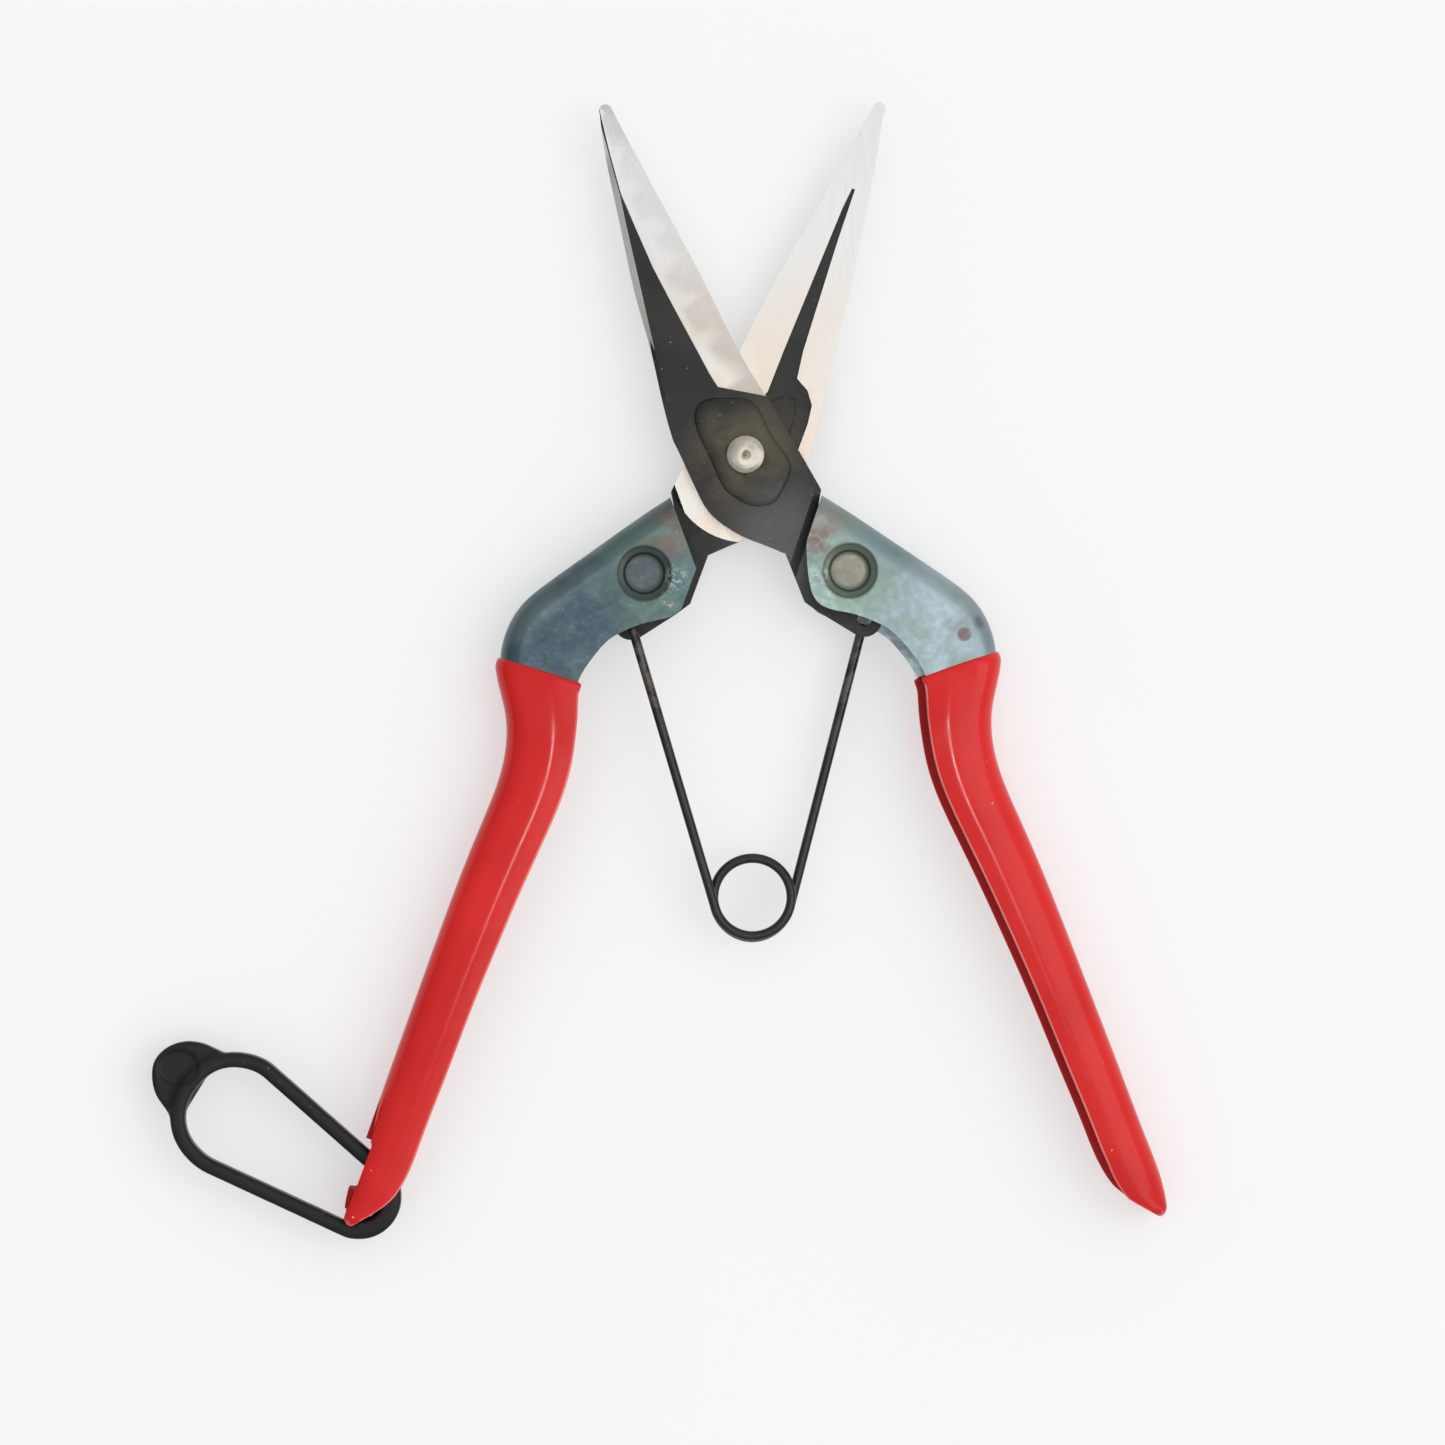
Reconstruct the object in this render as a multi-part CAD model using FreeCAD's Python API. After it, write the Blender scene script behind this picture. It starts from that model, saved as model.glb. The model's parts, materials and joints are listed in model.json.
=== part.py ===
import FreeCAD, Part
import math
import os

# Spring-opened garden snips, lying open and flat.  Lengths are millimetres.
# Both halves are drawn in one closed position: pivot on the origin, blade along +Y, handle on the +X
# side, contact face of the blade at z = 0 and its outer face towards +Z.  The upper half is that shape
# turned open; the lower half is the same shape turned over about the Y axis and turned open the other
# way.  At the end everything moves so that the origin is under the middle of the open tool.

V = FreeCAD.Vector
AXIS_Z = V(0, 0, 1)
PIVOT = V(0, 0, 0)

# ---- how far each half is turned open (degrees) ----
OPEN_UPPER = 21.65
OPEN_LOWER = 20.2

# ---- blades ----
PLATE = 3.0
FACE_GAP = 0.03
EDGE_THICKNESS = 0.3
TIP_THICKNESS = 1.3
TAPER_START_Y = 14.0
TIP_Y = 60.5
SPINE_CHAMFER_DEPTH = 0.55
HOLLOW_DEPTH = 0.35
RECESS_DEPTH = 0.75
HEEL_STEP = 0.25
BOSS_HEIGHT = 0.85
BOSS_SLOPE = 0.75
BOSS_CORNER_R = 1.7
RECESS_CORNER_R = 0.6
PIN_LAND_WIDTH = 0.9
GROUND_HEEL_R = 12.6
GROUND_HEEL_CENTRE = V(-0.6, -1.2, 0)
TANG_HALF = 1.5
STOP_X = 0.12
JOGGLE_START = 1.35
JOGGLE_LENGTH = 1.5

# ---- pivot ----
PIN_R = 2.2
PIN_CLEARANCE = 0.03
HEAD_R = 3.03
HEAD_HEIGHT = 1.15
HEAD_CHAMFER = 0.28
CROWN_R = 2.28
CROWN_TOP_R = 1.88
CROWN_HEIGHT = 0.14
CENTRE_DIMPLE_R = 0.42
CENTRE_DIMPLE_DEPTH = 0.34
WASHER_R = 3.9
WASHER_THICKNESS = 0.45
NUT_R = 3.2
NUT_HEIGHT = 1.05
NUT_CHAMFER = 0.3
STACK_GAP = 0.05

# ---- pressed steel handles ----
STEEL = 1.2
HANDLE_HALF = 5.2
WEB_RADIUS = 3.4
FLANGE_STEP = 1.1
FLANGE_STEP_Z = 2.2
DIMPLE_CENTRE = V(8.6, -23.35, 0)
DIMPLE_RIM_R = 4.75
DIMPLE_FLOOR_R = 2.85
DIMPLE_DEPTH = 2.5

# ---- dipped grips ----
DIP = 0.85
LINING = 0.5

# ---- spring ----
WIRE_R = 0.77
COIL_R = 6.2
COIL_CENTRE = V(1.12, -70.64, 0)
COIL_HALF_HEIGHT = 1.35
SEAT = V(8.0, -31.4, 0)
SEAT_LOBE_R = 2.8
SEAT_CLEARANCE = 0.08
OPEN_SEAT_CLEARANCE = 0.4
LEG_Z = 2.32
PEG_END_Z = 0.9
COIL_SPLIT_GAP = 1.0

# ---- strap ----
STRAP_PIN = V(16.9, -132.7, 0)
STRAP_LOOP_R = 5.5
STRAP_WIDTH = 2.4
STRAP_HALF_DEPTH = 2.0
TAB_TOP = 1.3
TAB_LIP_TOP = -0.7
SLOT_HALF_HEIGHT = 2.5
SLOT_TOP_Y = -123.3
BRIDGE_TOP_Y = -131.6
BRIDGE_END_Y = -134.7
SLOT_INSIDE_X = 15.2
SLOT_OUTSIDE_X = 24.0
STEEL_SLOT_MARGIN = 0.4


def polar(radius, degrees, z=0.0):
    angle = math.radians(degrees)
    return V(radius * math.cos(angle), radius * math.sin(angle), z)


def points(pairs):
    return [V(x, y, 0) for x, y in pairs]


def spline(pairs):
    """A smooth curve through the points."""
    curve = Part.BSplineCurve()
    curve.interpolate(Points=points(pairs))
    return curve


def polyline(pairs):
    corners = points(pairs)
    return [Part.makeLine(a, b) for a, b in zip(corners, corners[1:])]


def prism(edges, low, high):
    """The solid between two heights over a closed outline."""
    wire = Part.Wire(Part.__sortEdges__(edges))
    face = Part.Face(wire)
    face.translate(V(0, 0, low))
    return face.extrude(V(0, 0, high - low))


def polygon_prism(pairs, low, high):
    return prism(polyline(pairs + pairs[:1]), low, high)


def rounded_polygon(pairs, radius):
    """A closed outline whose corners are arcs of one radius."""
    corners = points(pairs)
    count = len(corners)
    ends = []
    for i, corner in enumerate(corners):
        back = (corners[i - 1] - corner).normalize()
        on = (corners[(i + 1) % count] - corner).normalize()
        half = back.getAngle(on) / 2
        reach = radius / math.tan(half)
        middle = (back + on).normalize() * (radius / math.sin(half) - radius)
        ends.append((corner + back * reach, corner + middle, corner + on * reach))
    edges = []
    for i, (first, middle, last) in enumerate(ends):
        edges.append(Part.Arc(first, middle, last).toShape())
        edges.append(Part.makeLine(last, ends[(i + 1) % count][0]))
    return edges


def offset_curve(pairs, distance, samples=60):
    """The curve through the points, moved sideways: to its left when the distance is positive."""
    curve = spline(pairs)
    first, last = curve.FirstParameter, curve.LastParameter
    moved = []
    for i in range(samples + 1):
        at = first + (last - first) * i / samples
        along = curve.tangent(at)[0]
        here = curve.value(at)
        moved.append((here.x - along.y * distance, here.y + along.x * distance))
    return moved


# ---------------------------------------------------------------- blades

UPPER_EDGE = [(0.55, 59.4), (1.27, 52.4), (2.82, 39.4), (4.2, 26.5), (4.75, 19.5), (5.72, 11.7), (6.65, 7.4)]
LOWER_EDGE = [(0.15, 59.4), (1.25, 52.0), (3.3, 39.0), (5.5, 25.8), (6.3, 19.1), (6.75, 14.0), (7.3, 7.4)]
UPPER_SPINE = [(-9.9, 6.4), (-8.95, 14.5), (-7.85, 21.5), (-7.0, 29.8), (-5.05, 41.7), (-2.9, 54.0), (-1.5, 59.4)]
LOWER_SPINE = [(-9.5, 6.4), (-8.5, 14.5), (-7.7, 20.8), (-6.6, 30.2), (-4.9, 41.8), (-2.9, 53.6), (-1.75, 59.0)]
BEVEL_LINE = [(-0.1, 11.7), (-1.6, 22.6), (-2.7, 33.3), (-3.0, 41.7), (-3.1, 46.1), (-2.35, 53.0), (-1.1, 61.5)]
CHAMFER_LINE = [(-8.9, 11.0), (-8.3, 14.9), (-6.7, 24.6), (-5.2, 34.4), (-4.0, 42.1), (-3.3, 46.1), (-2.55, 53.0)]
BEVEL_END = [(-2.0, 12.9), (10.0, 5.3)]
HEEL = [(-9.9, 6.4), (-9.6, 2.0), (-9.35, -2.4), (-8.8, -6.2), (-7.3, -9.2), (-5.3, -11.8), (-2.9, -14.1)]
CORNER = (9.19, -9.6)


def x_at(pairs, y):
    """Where a line through the points has this height, drawn straight between them."""
    ordered = sorted(pairs, key=lambda pair: pair[1])
    for (x0, y0), (x1, y1) in zip(ordered, ordered[1:]):
        if y <= y1:
            break
    return x0 + (x1 - x0) * (y - y0) / (y1 - y0)


def plate_top(y):
    """Height of the outer face, which thins from the boss to the tip."""
    run = max(0.0, y - TAPER_START_Y) / (TIP_Y - TAPER_START_Y)
    return PLATE - (PLATE - TIP_THICKNESS) * run


def blade_outline(edge_line, spine_line):
    """Round the blade, the heel, the stop and the tang, which ends in a round lobe at the spring."""
    lobe_side = SEAT + polar(SEAT_LOBE_R, 215)
    lobe_low = SEAT + polar(SEAT_LOBE_R, 275)
    lobe_back = SEAT + polar(SEAT_LOBE_R, -12)
    tip_left = spine_line[-1]
    tip_right = edge_line[0]
    heel_end = HEEL[-1]
    edges = [
        spline(edge_line).toShape(),
        spline(spine_line).toShape(),
        Part.Arc(V(*tip_left, 0), V((tip_left[0] + tip_right[0]) / 2, TIP_Y, 0), V(*tip_right, 0)).toShape(),
        Part.Arc(lobe_side, lobe_low, lobe_back).toShape(),
    ]
    heel = [spine_line[0]] + HEEL[1:]
    edges.append(spline(heel).toShape())
    edges += polyline([edge_line[-1], CORNER, (7.9, -11.7), (14.9, -21.8), (14.3, -27.5),
                       (lobe_back.x, lobe_back.y)])
    edges += polyline([(lobe_side.x, lobe_side.y), (1.6, -27.6), (STOP_X, -25.3), (STOP_X, -17.0), heel_end])
    return edges


def across(u, v):
    """A point u towards the pivot from the mouth of the handle and v along the mouth."""
    start = V(8.95, -10.5, 0)
    along = (V(1.1, -19.8, 0) - start).normalize()
    inward = V(along.y, -along.x, 0)
    return start + inward * u + along * v


def joggled_slab():
    """Side view of the plate swept along the mouth: it steps down to the middle inside the handle."""
    far = 90.0
    ramp_end = JOGGLE_START - JOGGLE_LENGTH
    profile = [(-far, -TANG_HALF), (ramp_end, -TANG_HALF), (JOGGLE_START, FACE_GAP), (far, FACE_GAP),
               (far, PLATE), (JOGGLE_START, PLATE), (ramp_end, TANG_HALF), (-far, TANG_HALF)]
    corners = [across(u, -far) + V(0, 0, z) for u, z in profile]
    wire = Part.makePolygon(corners + corners[:1])
    return Part.Face(wire).extrude(across(0, far) - across(0, -far))


def wedge(sections):
    """A solid through straight-sided sections, each a list of corners."""
    wires = [Part.makePolygon(corners + corners[:1]) for corners in sections]
    return Part.makeLoft(wires, True, True)


def bevel_cutter(edge_line):
    """Everything outside the ground bevel on the cutting side, down to the end of the grind."""
    above = PLATE + 3
    overlap = 0.2
    reach = 3.0
    sections = []
    for y in (2.0, 11.7, 19.5, 26.5, 33.3, 39.4, 46.1, 53.0, 62.0):
        edge_x = x_at(edge_line, y)
        line_x = x_at(BEVEL_LINE, y)
        top = plate_top(y)
        slope = (top - EDGE_THICKNESS) / (edge_x - line_x)
        sections.append([
            V(line_x - overlap, y, top + overlap * slope),
            V(edge_x + reach, y, EDGE_THICKNESS - reach * slope),
            V(edge_x + reach, y, above),
            V(line_x - overlap, y, above),
        ])
    left, right = BEVEL_END
    beyond = [left, right, (30, right[1]), (30, 70), (-10, 70), (-10, left[1])]
    return wedge(sections).common(polygon_prism(beyond, -9, 9))


def taper_cutter():
    """What is above the outer face where it thins towards the tip."""
    side = 30.0
    profile = [(TAPER_START_Y, PLATE), (TIP_Y + 5, plate_top(TIP_Y + 5)), (TIP_Y + 5, PLATE + 1),
               (TAPER_START_Y, PLATE + 1)]
    corners = [V(-side, y, z) for y, z in profile]
    return Part.Face(Part.makePolygon(corners + corners[:1])).extrude(V(2 * side, 0, 0))


def spine_cutter(spine_line):
    """The narrow chamfer along the back of the blade."""
    overlap = 0.1
    reach = 2.0
    narrowest = 0.25
    sections = []
    for y in (12.0, 20.8, 30.0, 36.0, 41.8, 46.1, 52.0, 60.0):
        back_x = x_at(spine_line, y)
        line_x = x_at(CHAMFER_LINE, y)
        top = plate_top(y)
        slope = SPINE_CHAMFER_DEPTH / max(narrowest, line_x - back_x)
        sections.append([
            V(line_x + overlap, y, top + overlap * slope),
            V(line_x + overlap, y, PLATE + reach),
            V(back_x - reach, y, PLATE + reach),
            V(back_x - reach, y, top - SPINE_CHAMFER_DEPTH - reach * slope),
        ])
    return wedge(sections)


def boss():
    """The raised pressing round the pivot, with sloping sides."""
    outline = rounded_polygon([(-4.3, 11.2), (4.4, 8.0), (4.9, 1.5), (6.4, -4.6), (1.4, -9.2), (-2.4, -7.9),
                               (-5.2, -4.0), (-5.7, 8.0)], BOSS_CORNER_R)
    block = prism(outline, PLATE - 0.5, PLATE + BOSS_HEIGHT)
    top = [edge for edge in block.Edges if edge.BoundBox.ZMin > PLATE + BOSS_HEIGHT - 0.01]
    return block.makeChamfer(BOSS_SLOPE, top)


def hollow():
    """The dark hollow of the contact face: narrow up the blade and wide over the back of the boss."""
    left = [(-1.75, 46.0), (-2.0, 36.9), (-2.3, 30.8), (-2.6, 24.8), (-2.9, 18.8), (-3.5, 14.4)]
    right = [(0.2, 10.8), (0.05, 17.7), (-0.4, 30.2), (-0.9, 42.6), (-1.25, 46.0)]
    outline = polyline(left + [(-5.7, 13.2), (-7.2, 11.2), (-7.6, 8.2), (-7.6, 4.0), (-5.6, -1.0),
                               (-3.4, -4.0), (1.0, -5.0), (3.8, -1.5), (3.4, 3.5), (1.4, 8.2)]
                       + right + left[:1])
    return prism(outline, -1, FACE_GAP + HOLLOW_DEPTH)


def boss_back():
    """The deeper recess behind the boss, which leaves a round land about the pin."""
    outline = rounded_polygon([(-1.9, 10.8), (-4.4, 11.4), (-5.3, 9.2), (-5.5, 4.5), (-4.6, -2.2), (-2.2, -4.2),
                               (1.2, -4.3), (3.2, -1.2), (3.0, 3.2), (0.4, 8.6)], RECESS_CORNER_R)
    pocket = prism(outline, -1, FACE_GAP + RECESS_DEPTH)
    return pocket.cut(Part.makeCylinder(PIN_R + PIN_LAND_WIDTH, 9, V(0, 0, -4)))


def heel_cutter():
    """Takes a little off the contact face of the tang, outside the ground round land."""
    whole = Part.makeCylinder(60, 5, V(0, 0, FACE_GAP + HEEL_STEP - 5))
    round_land = Part.makeCylinder(GROUND_HEEL_R, 12, GROUND_HEEL_CENTRE - V(0, 0, 6))
    blade_side = polygon_prism([(16, 3), (16, 70), (-20, 70), (-20, -9.5)], -9, 9)
    return whole.cut(round_land).cut(blade_side)


def seat_hole(clearance):
    return Part.makeCylinder(WIRE_R + clearance, 8, SEAT - V(0, 0, 4))


def blade(edge_line, spine_line, clearance):
    body = prism(blade_outline(edge_line, spine_line), -5, 5).common(joggled_slab())
    body = body.cut(taper_cutter())
    body = body.fuse(boss())
    body = body.cut(bevel_cutter(edge_line))
    body = body.cut(spine_cutter(spine_line))
    body = body.cut(hollow())
    body = body.cut(boss_back())
    body = body.cut(heel_cutter())
    body = body.cut(Part.makeCylinder(PIN_R + PIN_CLEARANCE, 20, V(0, 0, -10)))
    body = body.cut(seat_hole(clearance))
    return body.removeSplitter()


# ---------------------------------------------------------------- handles

WEB = [(8.95, -10.5), (12.5, -15.3), (16.3, -20.8), (20.0, -26.2), (23.3, -31.1), (25.2, -34.6),
       (26.05, -38.0), (26.1, -41.0), (25.5, -44.1), (23.9, -47.3), (21.6, -50.7), (19.8, -54.4),
       (18.75, -58.3), (18.3, -62.5), (18.4, -68.5), (18.7, -76.0), (18.8, -86.0), (18.7, -100.0),
       (18.55, -114.0), (18.4, -126.0), (18.1, -133.0), (17.3, -136.2)]
INNER = [(1.1, -26.6), (2.3, -28.4), (4.7, -30.0), (8.3, -32.9), (10.3, -35.3), (11.5, -38.2), (12.35, -41.3),
         (12.5, -44.2), (11.5, -47.8), (10.3, -52.2), (9.4, -56.8), (9.1, -61.5), (9.4, -68.0),
         (10.0, -76.0), (10.6, -87.0), (11.0, -98.0), (11.15, -110.0), (11.3, -120.0), (11.5, -127.0),
         (12.6, -131.3), (14.5, -134.3)]
TAIL_TIP = (16.2, -137.1)
TAIL_OUTSIDE = (19.4, -134.9)
MOUTH = [(12.15, -6.7), (8.95, -10.5), (1.1, -19.8)]
SHORT_MOUTH = [(9.05, -10.6), (5.8, -13.3), (3.5, -17.5), (2.15, -21.7), (2.05, -26.2)]
GRIP_TOP = [(27.5, -43.85), (11.0, -43.2)]


def fillet_web(body, height, radius):
    """Rounds the two long edges between the web and the flanges."""
    long_edges = []
    for edge in body.Edges:
        box = edge.BoundBox
        flat = box.ZMax - box.ZMin < 0.01 and abs(abs(box.ZMax) - height) < 0.01
        if flat and box.XMax > 22 and box.YMax - box.YMin > 100:
            long_edges.append(edge)
    return body.makeFillet(radius, long_edges)


def handle_form(growth, height, radius):
    """The outside of the channel, or of the dip over it when the growth is more than zero."""
    inner = offset_curve(INNER, -growth)
    tip = V(TAIL_TIP[0], TAIL_TIP[1] - growth, 0)
    beyond_tail = V(TAIL_OUTSIDE[0], TAIL_OUTSIDE[1] - growth, 0)
    edges = [spline(inner).toShape(), Part.Arc(V(*inner[-1], 0), tip, beyond_tail).toShape()]
    edges += polyline([(beyond_tail.x, beyond_tail.y), (45.0, -136.0), (45.0, -6.7)] + MOUTH + [inner[0]])
    return channel_space(growth, height, radius).common(prism(edges, -height - 1, height + 1))


def channel_space(growth, height, radius):
    """The open inside of the channel, carried on past the mouth, the tail and the open side."""
    web = offset_curve(WEB, growth)
    mouth_end = (web[0][0] - 4.0, web[0][1] + 5.4)
    tail_end = (web[-1][0] - 1.5, web[-1][1] - 4.0)
    web = [mouth_end] + web + [tail_end]
    edges = [spline(web).toShape()] + polyline([tail_end, (-20.0, -150.0), (-20.0, 0.0), mouth_end])
    return fillet_web(prism(edges, -height, height), height, radius)


def short_flange_cutter(growth):
    """The flange on the outer-face side ends a little short of the other along its whole length."""
    inner = offset_curve(INNER, FLANGE_STEP - growth)
    inner = SHORT_MOUTH + [pair for pair in inner if pair[1] < -28.3]
    last = inner[-1]
    edges = [spline(inner).toShape()]
    edges += polyline([last, (last[0] - 1.0, last[1] - 3.0), (-20.0, -150.0), (-20.0, 0.0), (6.0, 0.0), inner[0]])
    return prism(edges, FLANGE_STEP_Z, 9.0)


def dimple(extra, depth, face):
    """Turned form of the pressed dimple, pointing down from a face at this height."""
    rim = DIMPLE_RIM_R + extra
    floor = DIMPLE_FLOOR_R + extra
    low = face - depth
    side = [V(rim, 0, face), V(rim - 0.62, 0, face - 0.22), V((rim + floor) / 2 + 0.1, 0, face - depth * 0.52),
            V(floor + 0.28, 0, low + 0.2), V(floor - 0.4, 0, low)]
    curve = Part.BSplineCurve()
    curve.interpolate(side)
    top = face + 0.6
    corners = [side[-1], V(0, 0, low), V(0, 0, top), V(rim, 0, top), side[0]]
    edges = [curve.toShape()] + [Part.makeLine(a, b) for a, b in zip(corners, corners[1:])]
    turned = Part.Face(Part.Wire(edges)).revolve(V(0, 0, 0), AXIS_Z, 360)
    turned.translate(DIMPLE_CENTRE)
    return turned


def both_faces(shape):
    """A copy on each face of the handle."""
    other = shape.mirror(V(0, 0, 0), AXIS_Z)
    return [shape, other]


def strap_window(margin):
    """The notch above the bridge and the open end below it, through the web only."""
    height = SLOT_HALF_HEIGHT + margin
    top = SLOT_TOP_Y + margin
    bridge_top = BRIDGE_TOP_Y - margin
    bridge_end = BRIDGE_END_Y + margin
    left = SLOT_INSIDE_X
    right = SLOT_OUTSIDE_X
    notch = polygon_prism([(left, bridge_top), (right, bridge_top), (right, top - 1.2), (left, top + 0.9)],
                          -height, height)
    end = polygon_prism([(left - 4, bridge_end), (right, bridge_end), (right, -150), (left - 4, -150)],
                        -height, height)
    return notch.fuse(end)


def inside_of_channel(wall):
    return channel_space(-wall, HANDLE_HALF - wall, WEB_RADIUS - wall)


def channel(space, with_strap):
    """The pressed steel round the space inside it."""
    body = handle_form(0, HANDLE_HALF, WEB_RADIUS).cut(space)
    body = body.cut(short_flange_cutter(0))
    if with_strap:
        body = body.cut(strap_window(STEEL_SLOT_MARGIN))
    return body


def handle(with_strap):
    """The channel with a dimple in each flange that pinches the tang."""
    space = inside_of_channel(STEEL)
    inner_depth = HANDLE_HALF - TANG_HALF - STEEL
    for lump in both_faces(dimple(STEEL * 0.85, inner_depth, HANDLE_HALF - STEEL)):
        space = space.cut(lump)
    body = channel(space, with_strap)
    for press in both_faces(dimple(0, DIMPLE_DEPTH, HANDLE_HALF)):
        body = body.cut(press)
    return body.removeSplitter()


def grip(with_strap):
    """The dipped sleeve: outside and lining in one piece, wrapped round the steel."""
    right, left = GRIP_TOP
    covered = GRIP_TOP + [(-20, left[1]), (-20, -160), (40, -160), (40, right[1])]
    body = handle_form(DIP, HANDLE_HALF + DIP, WEB_RADIUS + DIP)
    body = body.common(polygon_prism(covered, -9, 9))
    body = body.cut(short_flange_cutter(DIP))
    if with_strap:
        body = body.cut(strap_window(0))
    body = body.cut(channel(inside_of_channel(STEEL), with_strap))
    return body.cut(inside_of_channel(STEEL + LINING))


# ---------------------------------------------------------------- pivot

def pivot_pin():
    base = PLATE + BOSS_HEIGHT + STACK_GAP
    shank_end = -(base + WASHER_THICKNESS + NUT_HEIGHT + 2 * STACK_GAP)
    shank = Part.makeCylinder(PIN_R, base - shank_end, V(0, 0, shank_end))
    head = Part.makeCylinder(HEAD_R, HEAD_HEIGHT, V(0, 0, base))
    rim = [edge for edge in head.Edges if edge.BoundBox.ZMin > base + HEAD_HEIGHT - 0.01]
    head = head.makeChamfer(HEAD_CHAMFER, rim)
    top = base + HEAD_HEIGHT
    crown = Part.makeCone(CROWN_R, CROWN_TOP_R, CROWN_HEIGHT, V(0, 0, top))
    centre = Part.makeCone(0.1, CENTRE_DIMPLE_R, CENTRE_DIMPLE_DEPTH + 0.16, V(0, 0, top - CENTRE_DIMPLE_DEPTH))
    return shank.fuse(head).fuse(crown).cut(centre).removeSplitter()


def ring(outer, inner, low, high):
    disc = Part.makeCylinder(outer, high - low, V(0, 0, low))
    return disc.cut(Part.makeCylinder(inner, high - low + 2, V(0, 0, low - 1)))


def pivot_washer():
    top = -(PLATE + BOSS_HEIGHT + STACK_GAP)
    return ring(WASHER_R, PIN_R + PIN_CLEARANCE, top - WASHER_THICKNESS, top)


def pivot_nut():
    top = -(PLATE + BOSS_HEIGHT + WASHER_THICKNESS + 2 * STACK_GAP)
    body = ring(NUT_R, PIN_R + PIN_CLEARANCE, top - NUT_HEIGHT, top)
    rim = [edge for edge in body.Edges
           if edge.BoundBox.ZMax < top - NUT_HEIGHT + 0.01 and edge.BoundBox.XMax > NUT_R - 0.1]
    return body.makeChamfer(NUT_CHAMFER, rim)


# ---------------------------------------------------------------- placing the halves

def place_upper(shape):
    return shape.rotated(PIVOT, AXIS_Z, OPEN_UPPER)


def place_lower(shape):
    turned = shape.rotated(PIVOT, V(0, 1, 0), 180)
    return turned.rotated(PIVOT, AXIS_Z, -OPEN_LOWER)


def upper_point(point):
    return FreeCAD.Rotation(AXIS_Z, OPEN_UPPER).multVec(point)


def lower_point(point):
    turned = V(-point.x, point.y, -point.z)
    return FreeCAD.Rotation(AXIS_Z, -OPEN_LOWER).multVec(turned)


# ---------------------------------------------------------------- spring

def tangent_angle(seat, side):
    """Angle on the coil where the leg from this seat leaves it: side is -1 on the left, 1 on the right."""
    reach = seat - COIL_CENTRE
    swing = math.degrees(math.acos(COIL_R / math.hypot(reach.x, reach.y)))
    return math.degrees(math.atan2(reach.y, reach.x)) - side * swing


def spring_leg(seat, angle, seat_z, coil_z, peg_end):
    """The straight leg with its end bent over into the hole of the tang."""
    bend = V(seat.x, seat.y, seat_z)
    foot = COIL_CENTRE + polar(COIL_R, angle, coil_z)
    run = foot - bend
    leg = Part.makeCylinder(WIRE_R, run.Length, bend, run)
    corner = Part.makeSphere(WIRE_R, bend)
    drop = V(0, 0, peg_end - seat_z)
    peg = Part.makeCylinder(WIRE_R, drop.Length, bend, drop)
    knuckle = Part.makeSphere(WIRE_R * 1.015, foot)
    return leg.fuse(corner).fuse(peg).fuse(knuckle)


def coil_part(start_angle, start_z, turn, pitch):
    """Wire of the coil from one angle, climbing clockwise through this many degrees."""
    height = pitch * turn / 360
    helix = Part.makeHelix(pitch, height, COIL_R, 0, True)
    helix.rotate(V(0, 0, 0), AXIS_Z, start_angle)
    helix.translate(COIL_CENTRE + V(0, 0, start_z))
    path = Part.Wire(helix.Edges)
    first = path.Edges[0]
    at = first.FirstParameter
    profile = Part.Wire(Part.makeCircle(WIRE_R, first.valueAt(at), first.tangentAt(at)))
    return path.makePipeShell([profile], True, True)


def spring_arms():
    left_seat = lower_point(SEAT)
    right_seat = upper_point(SEAT)
    left_angle = tangent_angle(left_seat, -1)
    right_angle = tangent_angle(right_seat, 1)
    turn = (right_angle - left_angle) % 360 + 360
    pitch = 2 * COIL_HALF_HEIGHT / turn * 360
    half = (turn - COIL_SPLIT_GAP) / 2
    right_coil = coil_part(right_angle, -COIL_HALF_HEIGHT, half, pitch)
    left_start = right_angle - half - COIL_SPLIT_GAP
    left_z = -COIL_HALF_HEIGHT + pitch * (half + COIL_SPLIT_GAP) / 360
    left_coil = coil_part(left_start, left_z, half, pitch)
    left_leg = spring_leg(left_seat, left_angle, LEG_Z, COIL_HALF_HEIGHT, -PEG_END_Z)
    right_leg = spring_leg(right_seat, right_angle, -LEG_Z, -COIL_HALF_HEIGHT, PEG_END_Z)
    return left_coil.fuse(left_leg), right_coil.fuse(right_leg)


# ---------------------------------------------------------------- strap

FAR_END = [(-76.6, -98.2), (-80.1, -96.8), (-84.5, -97.1), (-88.2, -99.7), (-90.5, -103.8), (-90.5, -108.0),
           (-88.4, -111.6), (-84.9, -114.0)]
TAB_OUTLINE = [(-81.4, -96.0), (-84.6, -95.0), (-86.6, -94.1), (-89.2, -93.7), (-92.4, -94.6), (-94.6, -97.0),
               (-94.9, -100.0), (-94.1, -102.6), (-92.7, -104.6), (-91.8, -107.4)]
TAB_INSIDE = [(-90.2, -105.9), (-84.9, -97.3)]


def touch_point(centre, radius, far, side):
    """Where a line from a far point touches a circle, on its left (1) or right (-1) as it arrives."""
    reach = far - centre
    swing = math.degrees(math.acos(radius / math.hypot(reach.x, reach.y)))
    angle = math.degrees(math.atan2(reach.y, reach.x)) + side * swing
    return centre + polar(radius, angle)


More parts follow.
